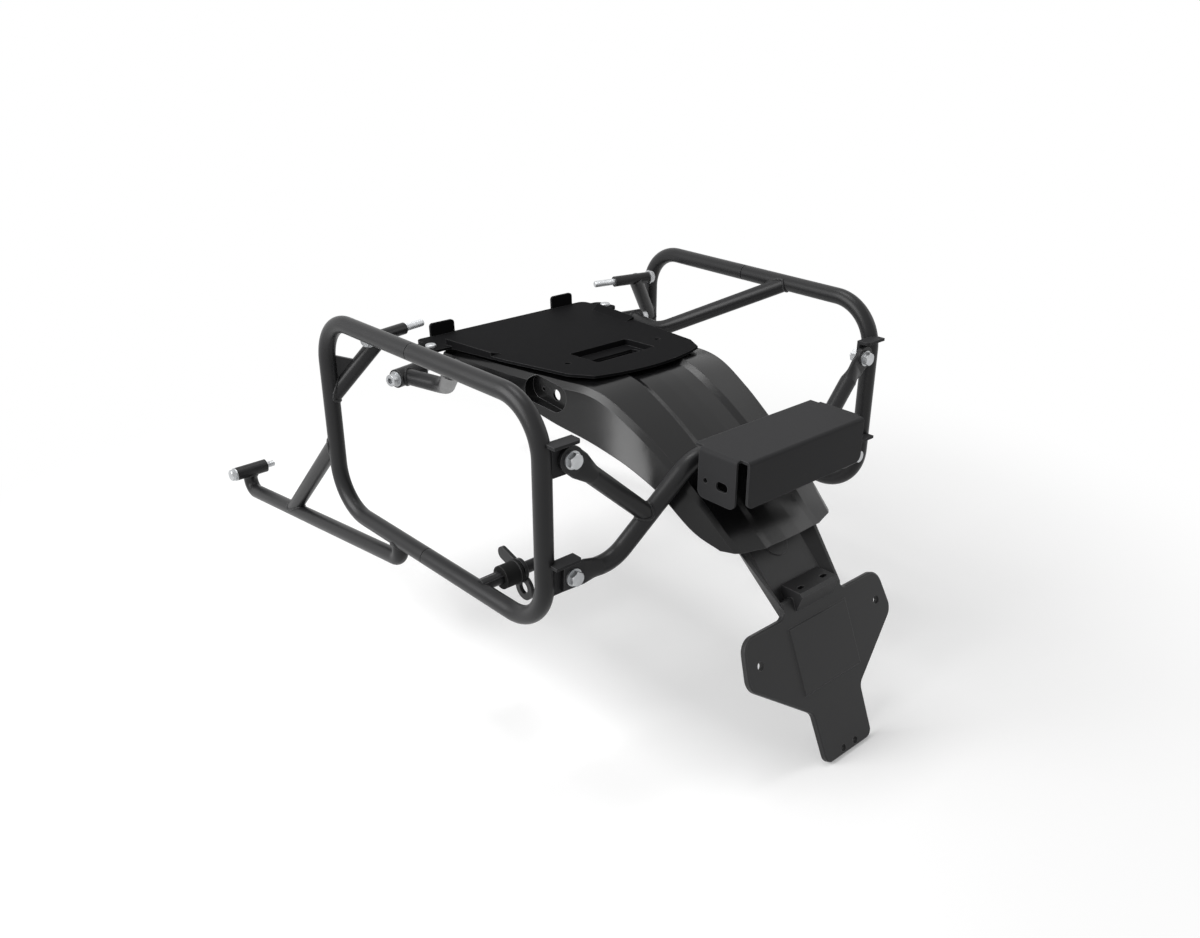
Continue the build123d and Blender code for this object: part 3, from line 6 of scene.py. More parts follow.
import bpy
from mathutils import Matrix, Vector


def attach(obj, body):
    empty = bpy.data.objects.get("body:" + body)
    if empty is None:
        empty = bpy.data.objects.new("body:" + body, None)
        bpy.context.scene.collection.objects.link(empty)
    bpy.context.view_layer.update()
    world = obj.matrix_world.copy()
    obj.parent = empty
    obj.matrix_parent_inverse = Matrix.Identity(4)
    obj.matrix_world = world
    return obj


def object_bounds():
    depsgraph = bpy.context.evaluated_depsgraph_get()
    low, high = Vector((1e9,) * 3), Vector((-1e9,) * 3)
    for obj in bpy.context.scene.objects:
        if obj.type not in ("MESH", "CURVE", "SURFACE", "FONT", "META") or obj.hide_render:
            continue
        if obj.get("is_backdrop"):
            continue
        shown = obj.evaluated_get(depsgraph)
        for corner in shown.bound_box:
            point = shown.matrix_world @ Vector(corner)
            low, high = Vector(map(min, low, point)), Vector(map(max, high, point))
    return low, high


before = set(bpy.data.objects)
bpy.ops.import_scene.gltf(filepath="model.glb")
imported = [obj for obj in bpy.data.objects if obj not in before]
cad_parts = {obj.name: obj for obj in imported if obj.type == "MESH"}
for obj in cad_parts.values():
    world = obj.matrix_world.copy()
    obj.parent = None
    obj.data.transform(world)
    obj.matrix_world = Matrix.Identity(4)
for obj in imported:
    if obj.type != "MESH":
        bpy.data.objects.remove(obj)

# Dresses the motorcycle pannier frame: a finish for every part of the frame, the weld beads
# that join its tubes, the threads of its free bolts, and the studio that it is shown in.
# Metres, in the frame of the CAD model: +X is the bike's right side and +Y is forward.

MILLIMETRE = 0.001
SIDES = {"right": 1, "left": -1}
WHITE = (1.0, 1.0, 1.0, 1.0)
MERGE_DISTANCE = 0.01 * MILLIMETRE
SMOOTH_ANGLE = radians(40)
FLOOR_GAP = 0.5 * MILLIMETRE

log = logging.getLogger("pannier_frame")


class Link:
    """One output of a material's node tree, with Python's operators on it."""

    def __init__(self, graph: "Graph", socket: bpy.types.NodeSocket) -> None:
        """Wrap a socket.

        Args:
            graph: The node tree's builder.
            socket: The output that the link stands for.
        """
        self.graph = graph
        self.socket = socket

    def _maths(self, operation: str, first: "Link | float", second: "Link | float") -> "Link":
        """Add a Math node that works on two values."""
        return self.graph.node("ShaderNodeMath", {"operation": operation}, {0: first, 1: second})

    def __add__(self, other: "Link | float") -> "Link":
        """Sum of two values."""
        return self._maths("ADD", self, other)

    def __radd__(self, other: float) -> "Link":
        """Sum with a number on the left."""
        return self._maths("ADD", other, self)

    def __rsub__(self, other: float) -> "Link":
        """Difference from a number on the left."""
        return self._maths("SUBTRACT", other, self)

    def __mul__(self, other: "Link | float") -> "Link":
        """Product of two values."""
        return self._maths("MULTIPLY", self, other)

    def __rmul__(self, other: float) -> "Link":
        """Product with a number on the left."""
        return self._maths("MULTIPLY", other, self)

    def at_most(self, other: "Link | float") -> "Link":
        """The smaller of two values."""
        return self._maths("MINIMUM", self, other)

    def at_least(self, other: "Link | float") -> "Link":
        """The larger of two values."""
        return self._maths("MAXIMUM", self, other)


class Graph:
    """Builder of one material's or world's node tree."""

    def __init__(self, tree: bpy.types.NodeTree) -> None:
        """Empty the tree.

        Args:
            tree: The node tree to fill.
        """
        tree.nodes.clear()
        self.tree = tree

    def add(self, kind: str, settings: dict, inputs: dict) -> bpy.types.Node:
        """Add a node, its settings first and then its sockets.

        Args:
            kind: Blender's name of the node type.
            settings: Attributes of the node.
            inputs: Values or links, by the socket's name or number.

        Returns:
            The new node.
        """
        node = self.tree.nodes.new(kind)
        for name, value in settings.items():
            setattr(node, name, value)
        for name, value in inputs.items():
            if isinstance(value, Link):
                self.tree.links.new(value.socket, node.inputs[name])
            else:
                node.inputs[name].default_value = value
        return node

    def node(self, kind: str, settings: dict, inputs: dict, output: str | int = 0) -> Link:
        """Add a node and give one of its outputs.

        Args:
            kind: Blender's name of the node type.
            settings: Attributes of the node.
            inputs: Values or links, by the socket's name or number.
            output: The output's name or number.

        Returns:
            The output as a link.
        """
        return Link(self, self.add(kind, settings, inputs).outputs[output])

    def place(self) -> Link:
        """Object coordinates in metres."""
        return self.node("ShaderNodeTexCoord", {}, {}, "Object")

    def noise(
        self, place: Link, scale: float, detail: float, stretch: tuple = (1.0, 1.0, 1.0)
    ) -> Link:
        """Noise between 0 and 1.

        Args:
            place: Coordinates.
            scale: Features in a metre.
            detail: Octaves added to the first.
            stretch: Factor on each axis of the coordinates.

        Returns:
            The noise's height.
        """
        mapped = self.node("ShaderNodeMapping", {}, {"Vector": place, "Scale": stretch})
        values = {"Vector": mapped, "Scale": scale, "Detail": detail}
        return self.node("ShaderNodeTexNoise", {}, values, "Fac")

    def blend(self, share: Link, low: tuple, high: tuple) -> Link:
        """Colour between two colours.

        Args:
            share: 0 for the first colour and 1 for the second.
            low: First colour.
            high: Second colour.

        Returns:
            The blended colour.
        """
        return self.mix(share, (*low, 1.0), high)

    def mix(self, share: Link, first: "Link | tuple", last: tuple) -> Link:
        """Colour between a link or an opaque colour and another colour.

        Args:
            share: 0 for the first colour and 1 for the last.
            first: First colour, a link or four numbers.
            last: Last colour.

        Returns:
            The mixed colour.
        """
        return self.node(
            "ShaderNodeMix", {"data_type": "RGBA"}, {0: share, 6: first, 7: (*last, 1.0)}, 2
        )

    def finish_surface(self, shader: Link) -> None:
        """Send a shader to the material's output."""
        self.add("ShaderNodeOutputMaterial", {}, {"Surface": shader})


def new_material(name: str) -> tuple[bpy.types.Material, Graph]:
    """Make a material with an empty node tree.

    Args:
        name: Name of the material.

    Returns:
        The material and the builder of its tree.
    """
    material = bpy.data.materials.new(name)
    material.use_nodes = True
    return material, Graph(material.node_tree)


@dataclass(frozen=True)
class Coating:
    """Black coating or moulding whose grain catches the light.

    Args:
        name: Name of the material.
        low: Colour in the dark patches.
        high: Colour in the light patches.
        roughness: Mean roughness.
        swing: How far the roughness wanders to either side.
        grain: Grains in a metre.
        relief: Height of the grain, in metres.
        specular: Strength of the reflection head on.
        edge_highlight_and_wear: Lighter colour painted along the edges, a painted highlight that
            also stands for thin or rubbed coating.
        edge: Radius over which an edge is rounded and given its painted highlight and wear, in
            metres.
        patches: Patches of colour and gloss in a metre.
        patch_share: Share of the patches in the colour; the grain has the rest.
        fine_share: Share of the fine grain in the relief; the coarse grain has the rest.
        least_edge_highlight_and_wear: Strength of the painted edge highlight and wear where the
            grain is lowest.
        patchy_edge_highlight_and_wear: Strength of the painted edge highlight and wear that the
            coarse grain adds.
        bump: Strength of the relief.
    """

    name: str
    low: tuple[float, float, float]
    high: tuple[float, float, float]
    roughness: float
    swing: float
    grain: float
    relief: float
    specular: float
    # Lighter edge colour: a painted highlight along the edges, which also stands for rubbed
    # coating.
    edge_highlight_and_wear: tuple[float, float, float] = (0.10, 0.10, 0.102)
    edge: float = 0.9 * MILLIMETRE
    patches: float = 24.0
    patch_share: float = 0.6
    fine_share: float = 0.7
    least_edge_highlight_and_wear: float = 2.0
    patchy_edge_highlight_and_wear: float = 4.0
    bump: float = 0.6

    def material(self) -> bpy.types.Material:
        """Build the material.

        Returns:
            The new material.
        """
        material, graph = new_material(self.name)
        place = graph.place()
        clouds = graph.noise(place, self.patches, detail=4.0)
        fine = graph.noise(place, self.grain, detail=2.0)
        coarse = graph.noise(place, self.grain / 4, detail=1.0)
        height = fine * self.fine_share + coarse * (1 - self.fine_share)
        share = (clouds * self.patch_share + fine * (1 - self.patch_share)).at_most(1.0)
        rounded = graph.node("ShaderNodeBevel", {"samples": 6}, {"Radius": self.edge}, "Normal")
        square = graph.node("ShaderNodeNewGeometry", {}, {}, "Normal")
        likeness = graph.node(
            "ShaderNodeVectorMath", {"operation": "DOT_PRODUCT"}, {0: rounded, 1: square}, "Value"
        )
        # Painted edge highlight, also standing for rubbed coating: the base colour turns lighter
        # where the rounded normal leaves the true one, more where the coarse grain is high.
        edge_highlight_and_wear_share = ((1 - likeness) * (self.least_edge_highlight_and_wear + self.patchy_edge_highlight_and_wear * coarse)).at_most(1.0)
        colour = graph.blend(share, self.low, self.high)
        normal = graph.node(
            "ShaderNodeBump",
            {},
            {
                "Strength": self.bump,
                "Distance": self.relief,
                "Height": height,
                "Normal": rounded,
            },
        )
        shader = graph.node(
            "ShaderNodeBsdfPrincipled",
            {},
            {
                "Base Color": graph.mix(edge_highlight_and_wear_share, colour, self.edge_highlight_and_wear),
                "Roughness": clouds * (2 * self.swing) + (self.roughness - self.swing),
                "Specular IOR Level": self.specular,
                "Normal": normal,
            },
        )
        graph.finish_surface(shader)
        return material


@dataclass(frozen=True)
class Plating:
    """Bright zinc plate with fine turning marks.

    Args:
        name: Name of the material.
        low: Colour in the dull patches.
        high: Colour in the bright patches.
        roughness: Mean roughness.
        marks: Turning marks in a metre.
        patches: Patches of colour and gloss in a metre.
        stretch: Factor on each axis of the marks' coordinates.
        relief: Depth of the marks, in metres.
        bump: Strength of the relief.
        mark_dullness: Roughness that the marks add.
        patch_dullness: Roughness that the patches add.
    """

    name: str
    low: tuple[float, float, float]
    high: tuple[float, float, float]
    roughness: float
    marks: float
    patches: float = 160.0
    stretch: tuple[float, float, float] = (1.0, 0.2, 0.2)
    relief: float = 0.008 * MILLIMETRE
    bump: float = 0.2
    mark_dullness: float = 0.12
    patch_dullness: float = 0.08

    def material(self) -> bpy.types.Material:
        """Build the material.

        Returns:
            The new material.
        """
        material, graph = new_material(self.name)
        place = graph.place()
        clouds = graph.noise(place, self.patches, detail=3.0)
        turned = graph.noise(place, self.marks, detail=2.0, stretch=self.stretch)
        dullness = turned * self.mark_dullness + clouds * self.patch_dullness
        normal = graph.node(
            "ShaderNodeBump",
            {},
            {"Strength": self.bump, "Distance": self.relief, "Height": turned},
        )
        shader = graph.node(
            "ShaderNodeBsdfPrincipled",
            {},
            {
                "Base Color": graph.blend(clouds, self.low, self.high),
                "Metallic": 1.0,
                "Roughness": dullness + self.roughness,
                "Normal": normal,
            },
        )
        graph.finish_surface(shader)
        return material


class Finish(Enum):
    """The finishes of the pannier frame."""

    POWDER_COAT = Coating(
        "satin_black_powder_coat", (0.012, 0.012, 0.0126), (0.018, 0.018, 0.0189),
        roughness=0.36, swing=0.05, grain=900.0, relief=0.10 * MILLIMETRE, specular=0.23,
    )
    SHEET_COAT = Coating(
        "black_powder_coat_on_sheet", (0.024, 0.024, 0.025), (0.032, 0.032, 0.0333),
        roughness=0.56, swing=0.04, grain=1100.0, relief=0.08 * MILLIMETRE, specular=0.08,
    )
    DECK_MOULDING = Coating(
        "matt_black_moulding", (0.006, 0.006, 0.0064), (0.010, 0.010, 0.0106),
        roughness=0.68, swing=0.05, grain=1600.0, relief=0.10 * MILLIMETRE, specular=0.015,
    )
    FENDER_MOULDING = Coating(
        "satin_black_moulding", (0.003, 0.003, 0.0032), (0.005, 0.005, 0.0053),
        roughness=0.22, swing=0.03, grain=1800.0, relief=0.03 * MILLIMETRE, specular=0.34,
    )
    HOLDER_MOULDING = Coating(
        "grained_black_moulding", (0.015, 0.015, 0.0156), (0.022, 0.022, 0.0229),
        roughness=0.46, swing=0.05, grain=1500.0, relief=0.10 * MILLIMETRE, specular=0.30,
    )
    ZINC = Plating(
        "bright_zinc", (0.38, 0.39, 0.40), (0.60, 0.61, 0.62), roughness=0.36, marks=5200.0
    )
    BUSH_RUBBER = Coating(
        "matt_black_rubber", (0.004, 0.004, 0.004), (0.008, 0.008, 0.008),
        roughness=0.75, swing=0.06, grain=1200.0, relief=0.12 * MILLIMETRE, specular=0.15,
    )


class Workshop:
    """Makes each finish once and gives it to the pieces that have it."""

    def __init__(self) -> None:
        """Start with no finish made."""
        self.made: dict[Finish, bpy.types.Material] = {}

    def material(self, finish: Finish) -> bpy.types.Material:
        """Make a finish's material the first time it is asked for.

        Args:
            finish: The finish.

        Returns:
            Its material.
        """
        if finish not in self.made:
            self.made[finish] = finish.value.material()
        return self.made[finish]

    def dress_node(self, name: str, finish: Finish) -> None:
        """Give a finish to a CAD node.

        Args:
            name: Name of the node.
            finish: Its finish.
        """
        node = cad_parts[name]
        if not node.material_slots:
            node.data.materials.append(self.material(finish))
        for slot in node.material_slots:
            slot.material = self.material(finish)
        log.info("dressed %s as %s", name, finish.value.name)

    def dress_piece(self, piece: bpy.types.Object, finish: Finish, slot: str) -> None:
        """Give a finish to a new piece and fix it to the frame.

        Args:
            piece: The new piece.
            finish: Its finish.
            slot: The record's material slot; not used.
        """
        piece.data.materials.clear()
        piece.data.materials.append(self.material(finish))
        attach(piece, "root")
        log.info("added %s with %d faces", piece.name, len(piece.data.polygons))


def select_only(piece: bpy.types.Object) -> None:
    """Select one object and make it active."""
    bpy.ops.object.select_all(action="DESELECT")
    piece.select_set(True)
    bpy.context.view_layer.objects.active = piece


def settle(piece: bpy.types.Object, name: str) -> bpy.types.Object:
    """Put a finished piece's place into its mesh and name it.

    Args:
        piece: The piece.
        name: Its name.

    Returns:
        The same piece.
    """
    select_only(piece)
    bpy.ops.object.transform_apply(location=True, rotation=True, scale=True)
    bpy.ops.object.mode_set(mode="EDIT")
    bpy.ops.mesh.select_all(action="SELECT")
    bpy.ops.mesh.remove_doubles(threshold=MERGE_DISTANCE)
    bpy.ops.mesh.normals_make_consistent(inside=False)
    bpy.ops.object.mode_set(mode="OBJECT")
    bpy.ops.object.shade_smooth_by_angle(angle=SMOOTH_ANGLE)
    piece.name = name
    return piece


def on_side(vector: tuple[float, float, float], sign: int) -> Vector:
    """Take a right-hand place to its own side.

    Args:
        vector: The place on the right-hand side, in millimetres.
        sign: 1 for the right-hand side and -1 for the left.

    Returns:
        The place in metres.
    """
    return Vector((sign * vector[0], vector[1], vector[2])) * MILLIMETRE


@dataclass(frozen=True)
class SaddleWeld:
    """Bead round the end of a tube where it meets another piece.

    Args:
        name: Name of the bead, without its side.
        onto: CAD node that the tube is welded to, without its side.
        place: Where the tube's axis meets the piece's axis, right-hand side, in millimetres.
        away: A point further along the tube, right-hand side, in millimetres.
        radius: Radius of the seam, in millimetres.
        sided: Whether the CAD node is one of a pair.
        bead: Radius of the bead, in millimetres.
        steps: Points round the seam.
        ripple: How far the bead's thickness swings, as a share of it.
        ripple_steps: Points from one ripple to the next.
        bead_steps: Steps that round the bead's section.
        clear: How far up the tube the seam's circle starts, in millimetres.
    """

    name: str
    onto: str
    place: tuple[float, float, float]
    away: tuple[float, float, float]
    radius: float
    sided: bool = True
    bead: float = 1.7
    steps: int = 72
    ripple: float = 0.14
    ripple_steps: int = 3
    bead_steps: int = 2
    clear: float = 26.0

    def build(self, side: str) -> bpy.types.Object:
        """Lay the bead on one side of the frame.

        Args:
            side: "right" or "left".

        Returns:
            The bead.
        """
        sign = SIDES[side]
        place = on_side(self.place, sign)
        heading = (on_side(self.away, sign) - place).normalized()
        bpy.ops.object.select_all(action="DESELECT")
        bpy.ops.mesh.primitive_circle_add(
            vertices=self.steps,
            radius=self.radius * MILLIMETRE,
            location=place + heading * self.clear * MILLIMETRE,
            rotation=heading.to_track_quat("Z", "Y").to_euler(),
        )
        ring = bpy.context.object
        target = f"{self.onto}_{side}" if self.sided else self.onto
        wrap = ring.modifiers.new("on_the_tube", "SHRINKWRAP")
        wrap.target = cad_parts[target]
        wrap.wrap_method = "PROJECT"
        wrap.use_project_z = True
        wrap.use_positive_direction = False
        wrap.use_negative_direction = True
        bpy.ops.object.modifier_apply(modifier=wrap.name)
        bpy.ops.object.convert(target="CURVE")
        ring = bpy.context.object
        ring.data.bevel_depth = self.bead * MILLIMETRE
        ring.data.bevel_resolution = self.bead_steps
        for index, point in enumerate(ring.data.splines[0].points):
            point.radius = 1 + self.ripple * sin(2 * pi * index / self.ripple_steps)
        bpy.ops.object.convert(target="MESH")
        return settle(bpy.context.object, f"{self.name}_{side}")


@dataclass(frozen=True)
class Thread:
    """Helical ridge of a bolt's free thread.

    Args:
        name: Name of the thread, without its side.
        tip: End of the bolt, right-hand side, in millimetres.
        inboard: A point further along the bolt's axis, towards its head.
        length: Length of the thread, in millimetres.
        diameter: Diameter of the helix through the ridge's middle, in millimetres.
        pitch: Advance of the helix in one turn, in millimetres.
        bevel: Bare length at the bolt's end, in millimetres.
        steps: Steps in one turn.
        ridge: Radius of the ridge's four-sided section, as a share of the pitch.
    """

    name: str
    tip: tuple[float, float, float]
    inboard: tuple[float, float, float]
    length: float
    diameter: float = 7.3
    pitch: float = 1.25
    bevel: float = 0.6
    steps: int = 20
    ridge: float = 0.28

    def build(self, side: str) -> bpy.types.Object:
        """Wind the thread on one side of the frame.

        Args:
            side: "right" or "left".

        Returns:
            The thread.
        """
        sign = SIDES[side]
        tip = on_side(self.tip, sign)
        heading = (on_side(self.inboard, sign) - tip).normalized()
        crest = self.ridge * self.pitch
        bpy.ops.object.select_all(action="DESELECT")
        bpy.ops.mesh.primitive_circle_add(
            vertices=4,
            radius=crest * MILLIMETRE,
            location=(self.diameter / 2 * MILLIMETRE, 0.0, 0.0),
            rotation=(pi / 2, 0.0, 0.0),
        )
        coil = bpy.context.object
        bpy.ops.object.transform_apply(location=True, rotation=True, scale=True)
        turns = coil.modifiers.new("helix", "SCREW")
        turns.axis = "Z"
        turns.screw_offset = self.pitch * MILLIMETRE
        turns.iterations = int((self.length - self.bevel) / self.pitch) - 1
        turns.steps = self.steps
        turns.render_steps = self.steps
        bpy.ops.object.modifier_apply(modifier=turns.name)
        coil.rotation_euler = heading.to_track_quat("Z", "Y").to_euler()
        coil.location = tip + heading * (self.bevel + crest) * MILLIMETRE
        select_only(coil)
        bpy.ops.object.mode_set(mode="EDIT")
        bpy.ops.mesh.select_mode(type="VERT")
        bpy.ops.mesh.select_all(action="DESELECT")
        bpy.ops.mesh.select_non_manifold(
            extend=False, use_wire=False, use_multi_face=False
        )
        bpy.ops.mesh.edge_face_add()
        bpy.ops.object.mode_set(mode="OBJECT")
        return settle(coil, f"{self.name}_{side}")


@dataclass
class Assembly:
    """A group of the frame's parts with one way of being made.

    Args:
        workshop: Maker of the finishes.
    """

    workshop: Workshop

    def dress(self, finishes: dict[Finish, tuple[str, ...]], sided: bool) -> None:
        """Give finishes to CAD nodes.

        Args:
            finishes: Names of nodes by their finish.
            sided: Whether the names stand for a pair of nodes each.
        """
        for finish, names in finishes.items():
            for name in names:
                nodes = [f"{name}_{side}" for side in SIDES] if sided else [name]
                for node in nodes:
                    self.workshop.dress_node(node, finish)

    def weld(self, seams: tuple[SaddleWeld, ...]) -> None:
        """Lay each bead on both sides.

        Args:
            seams: The beads.
        """
        for seam in seams:
            for side in SIDES:
                self.workshop.dress_piece(seam.build(side), Finish.POWDER_COAT, "powder_coat")


@dataclass
class SideHoops(Assembly):
    """The two hoops with their upper stays and struts."""

    seams: tuple[SaddleWeld, ...] = (
        SaddleWeld(
            "front_stay_weld", "hoop_front", (237.8, 168.0, -92.0), (184.47, 141.03, -26.0), 8.7
        ),
        SaddleWeld("mid_strut_weld", "hoop_rear", (232.57, -65.4, 0.0), (155.5, 67.0, -71.0), 8.7),
        SaddleWeld(
            "mid_sleeve_weld", "mid_sleeve", (167.9, 129.65, -72.5), (155.5, 67.0, -71.0), 8.8
        ),
    )

    def build(self) -> None:
        """Dress the hoops and their stays, and weld them."""
        self.dress(
            {
                Finish.POWDER_COAT: (
                    "hoop_front", "hoop_rear", "front_stay", "front_sleeve", "front_gusset",
                    "mid_strut", "mid_sleeve",
                )
            },
            sided=True,
        )
        self.dress({Finish.POWDER_COAT: ("hoop_spigots",)}, sided=False)
        self.weld(self.seams)


@dataclass
class LowerArms(Assembly):
    """The arms under the hoops, their braces and the lower latches."""

    seams: tuple[SaddleWeld, ...] = (
        SaddleWeld(
            "arm_weld", "hoop_front", (235.21, 52.5, -219.0), (235.21, 52.5, -260.0), 8.7,
            clear=14.0,
        ),
        SaddleWeld(
            "brace_top_weld", "hoop_front", (237.8, 168.0, -143.0), (236.92, 306.0, -277.54), 8.7
        ),
        SaddleWeld(
            "brace_foot_weld", "lower_arm", (236.92, 306.0, -277.54), (237.8, 168.0, -143.0), 8.6
        ),
        SaddleWeld(
            "arm_sleeve_weld", "lower_sleeve", (237.8, 424.0, -264.5), (237.8, 436.0, -295.0), 8.2,
            clear=14.0,
        ),
        SaddleWeld(
            "latch_weld", "hoop_rear", (232.0, -91.0, -214.0), (160.0, -91.0, -214.0), 6.35,
            bead=1.3,
        ),
    )

    def build(self) -> None:
        """Dress the arms and the latches, and weld them."""
        self.dress(
            {
                Finish.POWDER_COAT: (
                    "lower_arm", "lower_brace", "lower_sleeve", "latch_bar", "latch_lever",
                ),
                Finish.BUSH_RUBBER: ("latch_bush",),
            },
            sided=True,
        )
        self.weld(self.seams)


@dataclass
class RearCross(Assembly):
    """The crossbar, its short struts, the brackets and the accessory bracket."""

    seams: tuple[SaddleWeld, ...] = (
        SaddleWeld(
            "short_strut_weld", "crossbar", (119.2, -204.75, -131.1), (180.86, -198.0, -74.9), 8.7,
            sided=False,
        ),
    )

    def build(self) -> None:
        """Dress the cross pieces and weld the struts."""
        self.dress(
            {
                Finish.POWDER_COAT: ("short_strut",),
                Finish.SHEET_COAT: ("bracket_upper", "bracket_lower", "bracket_carrier"),
            },
            sided=True,
        )
        self.dress(
            {
                Finish.POWDER_COAT: ("crossbar",),
                Finish.SHEET_COAT: ("accessory_bracket",),
                Finish.BUSH_RUBBER: ("rubber_mounts",),
            },
            sided=False,
        )
        self.weld(self.seams)


@dataclass(frozen=True)
class TrayShadeCollar:
    """Dark collar that stands down from the wiring opening in the deck's tray, in millimetres; it
    is painted shade that hides the floor seen through the opening.

    Args:
        name: Name of the piece.
        half_width: Half width of the opening.
        front: Front edge of the opening.
        rear: Rear edge of the opening.
        top: Height of the collar's root, inside the tray's floor.
        depth: Height of the collar.
        wall: Thickness of its wall.
        rounding: Radius of its edges.
        rounding_steps: Steps that round an edge.
        level: Least upright share of a level face's normal.
    """

    name: str = "tray_shade_collar"
    half_width: float = 35.0
    front: float = -15.0
    rear: float = -40.0
    top: float = -51.0
    depth: float = 15.0
    wall: float = 2.0
    rounding: float = 0.6
    rounding_steps: int = 3
    level: float = 0.9

    def build(self) -> bpy.types.Object:
        """Model the collar.

        Returns:
            The collar.
        """
        centre = Vector((0.0, (self.front + self.rear) / 2, self.top - self.depth / 2)) * MILLIMETRE
        size = Vector((2 * self.half_width, self.front - self.rear, self.depth)) * MILLIMETRE
        bpy.ops.object.select_all(action="DESELECT")
        bpy.ops.mesh.primitive_cube_add(size=1.0, location=centre, scale=size)
        collar = bpy.context.object
        bpy.ops.object.transform_apply(location=True, rotation=True, scale=True)
        bpy.ops.object.mode_set(mode="EDIT")
        bpy.ops.mesh.select_mode(type="FACE")
        bpy.ops.mesh.select_all(action="DESELECT")
        bpy.ops.object.mode_set(mode="OBJECT")
        for face in collar.data.polygons:
            face.select = abs(face.normal.z) > self.level
        bpy.ops.object.mode_set(mode="EDIT")
        bpy.ops.mesh.delete(type="FACE")
        bpy.ops.object.mode_set(mode="OBJECT")
        thick = collar.modifiers.new("wall", "SOLIDIFY")
        thick.thickness = self.wall * MILLIMETRE
        thick.offset = 1.0
        bpy.ops.object.modifier_apply(modifier=thick.name)
        round_edges = collar.modifiers.new("rounding", "BEVEL")
        round_edges.width = self.rounding * MILLIMETRE
        round_edges.segments = self.rounding_steps
        bpy.ops.object.modifier_apply(modifier=round_edges.name)
        return settle(collar, self.name)


@dataclass
class Mouldings(Assembly):
    """The seat deck with the dark collar under its tray, which is painted shade in the opening, the
    fender and the number plate holder.
    """

    collar: TrayShadeCollar = TrayShadeCollar()

    def build(self) -> None:
        """Dress the mouldings and add the dark collar under the tray, which is painted shade in its
        opening.
        """
        # Painted shade: dark walls under the tray's opening, so that the opening shows dark instead
        # of the floor.
        self.workshop.dress_piece(self.collar.build(), Finish.DECK_MOULDING, "fender_plastic")
        self.dress(
            {
                Finish.DECK_MOULDING: ("seat_deck",),
                Finish.FENDER_MOULDING: ("fender",),
                Finish.HOLDER_MOULDING: ("plate_holder",),
            },
            sided=False,
        )


@dataclass
class Fasteners(Assembly):
    """Bolts, washers, nuts and the threads that stand free."""

    threads: tuple[Thread, ...] = (
        Thread("upper_front_thread", (126.8, 153.5, -26.0), (154.17, 147.58, -26.0), 28.0),
        Thread("middle_thread", (130.76, 137.68, -72.5), (143.46, 134.93, -72.5), 13.0),
        Thread("lower_front_thread", (204.82, 425.27, -264.5), (216.82, 424.81, -264.5), 12.0),
    )
    names: tuple[str, ...] = (
        "front_mount_bolts", "front_mount_washers", "mid_mount_bolts", "mid_mount_washers",
        "lower_mount_bolts", "lower_mount_washers", "rear_washers", "rear_bolts", "rear_nuts",
        "deck_bolts", "deck_bolt_nuts", "fender_screws", "fender_nuts", "holder_screws",
    )

    def build(self) -> None:
        """Dress the fasteners and add their threads."""
        self.dress({Finish.ZINC: self.names}, sided=False)
        for thread in self.threads:
            for side in SIDES:
                self.workshop.dress_piece(thread.build(side), Finish.ZINC, "zinc")


@dataclass(frozen=True)
class SoftLight:
    """A square soft light that faces the frame.

    Args:
        name: Name of the lamp.
        place: Its place, in metres.
        size: Side of its square, in metres.
        power: Its power, in watts.
    """

    name: str
    place: tuple[float, float, float]
    size: float
    power: float


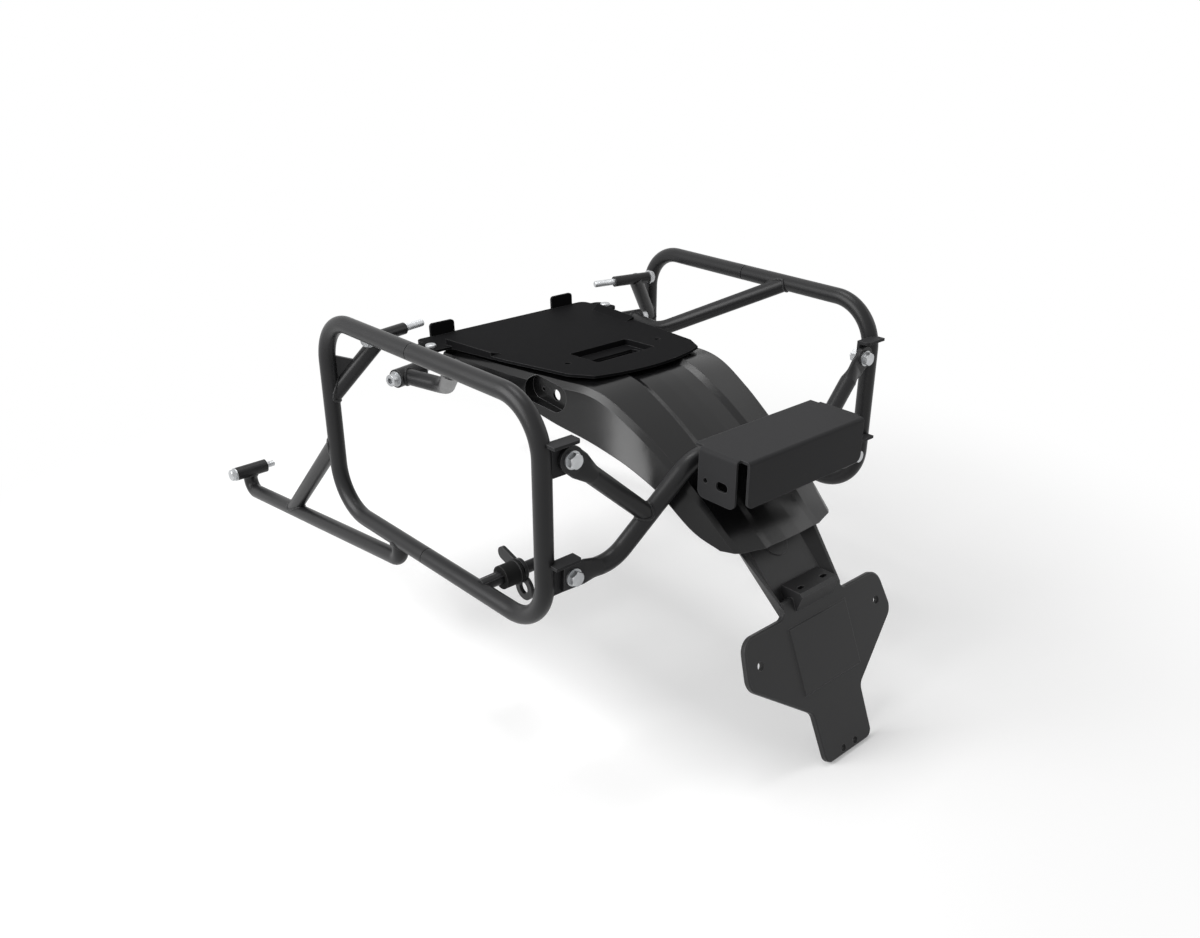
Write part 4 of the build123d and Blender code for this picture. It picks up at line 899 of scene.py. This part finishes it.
@dataclass
class Studio:
    """Pale floor, soft light and the camera at the photograph's angle.

    Args:
        camera_place: Place of the camera, in metres.
        camera_line: Direction in which the camera looks.
        lens: Focal length, in millimetres.
        sensor: Width of the camera's sensor, in millimetres.
        aim: Point that the lamps face.
        floor_size: Side of the floor.
        floor_colour: Colour of the floor where it is lit.
        floor_glow: Light that the floor adds of its own near the frame.
        plain_from: Distance from the middle at which the floor starts to turn plain white.
        plain_to: Distance at which it is plain white.
        ambient: Strength of the light from all round.
        lights: The lamps.
    """

    camera_place: tuple[float, float, float] = (-0.72806, -0.83166, 0.30941)
    camera_line: tuple[float, float, float] = (0.6007, 0.6852, -0.4118)
    lens: float = 31.744
    sensor: float = 36.0
    aim: tuple[float, float, float] = (0.0, 0.0, -0.15)
    floor_size: float = 40.0
    floor_colour: tuple[float, float, float] = (0.80, 0.80, 0.80)
    floor_glow: float = 0.24
    plain_from: float = 0.36
    plain_to: float = 0.95
    ambient: float = 0.30
    lights: tuple[SoftLight, ...] = (
        SoftLight("overhead", (0.0, 0.35, 2.0), 0.9, 18.0),
        SoftLight("left_side", (-1.42, 0.42, 0.68), 1.2, 30.0),
        SoftLight("right_rear", (1.5, -1.0, 0.8), 0.8, 3.0),
    )

    def build(self, floor_height: float) -> None:
        """Build the studio.

        Args:
            floor_height: Height of the floor.
        """
        self.build_floor(floor_height)
        self.build_world()
        for light in self.lights:
            self.build_light(light)
        self.build_camera()

    def build_floor(self, height: float) -> None:
        """Lay the floor, which keeps the frame's shadow and turns plain white further out.

        Args:
            height: Height of the floor.
        """
        bpy.ops.object.select_all(action="DESELECT")
        bpy.ops.mesh.primitive_plane_add(size=self.floor_size, location=(0.0, 0.0, height))
        floor = bpy.context.object
        floor.name = "studio_floor"
        material, graph = new_material("pale_floor")
        matt = graph.node("ShaderNodeBsdfDiffuse", {}, {"Color": (*self.floor_colour, 1.0)})
        glow = graph.node("ShaderNodeEmission", {}, {"Color": WHITE, "Strength": self.floor_glow})
        lit = graph.node("ShaderNodeAddShader", {}, {0: matt, 1: glow})
        plain = graph.node("ShaderNodeEmission", {}, {"Color": WHITE, "Strength": 1.0})
        radius = graph.node(
            "ShaderNodeVectorMath", {"operation": "LENGTH"}, {0: graph.place()}, "Value"
        )
        share = graph.node(
            "ShaderNodeMapRange",
            {"interpolation_type": "SMOOTHSTEP"},
            {"Value": radius, "From Min": self.plain_from, "From Max": self.plain_to},
        )
        shown = graph.node("ShaderNodeMixShader", {}, {0: share, 1: lit, 2: plain})
        surface = graph.node("ShaderNodeMixShader", {}, {0: self.seen(graph), 1: matt, 2: shown})
        graph.finish_surface(surface)
        floor.data.materials.append(material)
        floor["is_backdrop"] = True

    def seen(self, graph: Graph) -> Link:
        """Tell the rays that show the background from those that light the frame.

        Args:
            graph: Builder of the tree that asks.

        Returns:
            1 for a ray from the camera, off a gloss or through glass, and 0 for any other.
        """
        path = graph.add("ShaderNodeLightPath", {}, {})
        camera, glossy, through = (
            Link(graph, path.outputs[f"Is {kind} Ray"])
            for kind in ("Camera", "Glossy", "Transmission")
        )
        return camera.at_least(glossy).at_least(through)

    def build_world(self) -> None:
        """White background with a soft ambient light."""
        world = bpy.data.worlds.new("studio_world")
        world.use_nodes = True
        graph = Graph(world.node_tree)
        ambient = graph.node("ShaderNodeBackground", {}, {"Color": WHITE, "Strength": self.ambient})
        backdrop = graph.node("ShaderNodeBackground", {}, {"Color": WHITE, "Strength": 1.0})
        mixed = graph.node(
            "ShaderNodeMixShader", {}, {0: self.seen(graph), 1: ambient, 2: backdrop}
        )
        graph.add("ShaderNodeOutputWorld", {}, {"Surface": mixed})
        bpy.context.scene.world = world

    def build_light(self, light: SoftLight) -> None:
        """Hang one soft light, aimed at the frame.

        Args:
            light: The lamp.
        """
        line = Vector(self.aim) - Vector(light.place)
        bpy.ops.object.light_add(
            type="AREA", location=light.place, rotation=line.to_track_quat("-Z", "Y").to_euler()
        )
        lamp = bpy.context.object
        lamp.name = light.name
        lamp.data.size = light.size
        lamp.data.energy = light.power

    def build_camera(self) -> None:
        """Set the camera at the photograph's viewing angle."""
        line = Vector(self.camera_line)
        bpy.ops.object.camera_add(
            location=self.camera_place, rotation=line.to_track_quat("-Z", "Y").to_euler()
        )
        camera = bpy.context.object
        camera.name = "photograph_camera"
        camera.data.lens = self.lens
        camera.data.sensor_width = self.sensor
        camera.data.sensor_fit = "HORIZONTAL"
        bpy.context.scene.camera = camera


def main() -> None:
    """Build the dressed frame and its studio."""
    logging.basicConfig(level=logging.INFO, format="%(name)s: %(message)s")
    cad_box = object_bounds()
    workshop = Workshop()
    for assembly in (SideHoops, LowerArms, RearCross, Mouldings, Fasteners):
        assembly(workshop).build()
    Studio().build(cad_box[0].z - FLOOR_GAP)
    bpy.context.scene.view_settings.view_transform = "Standard"


if __name__ == "__main__":
    main()
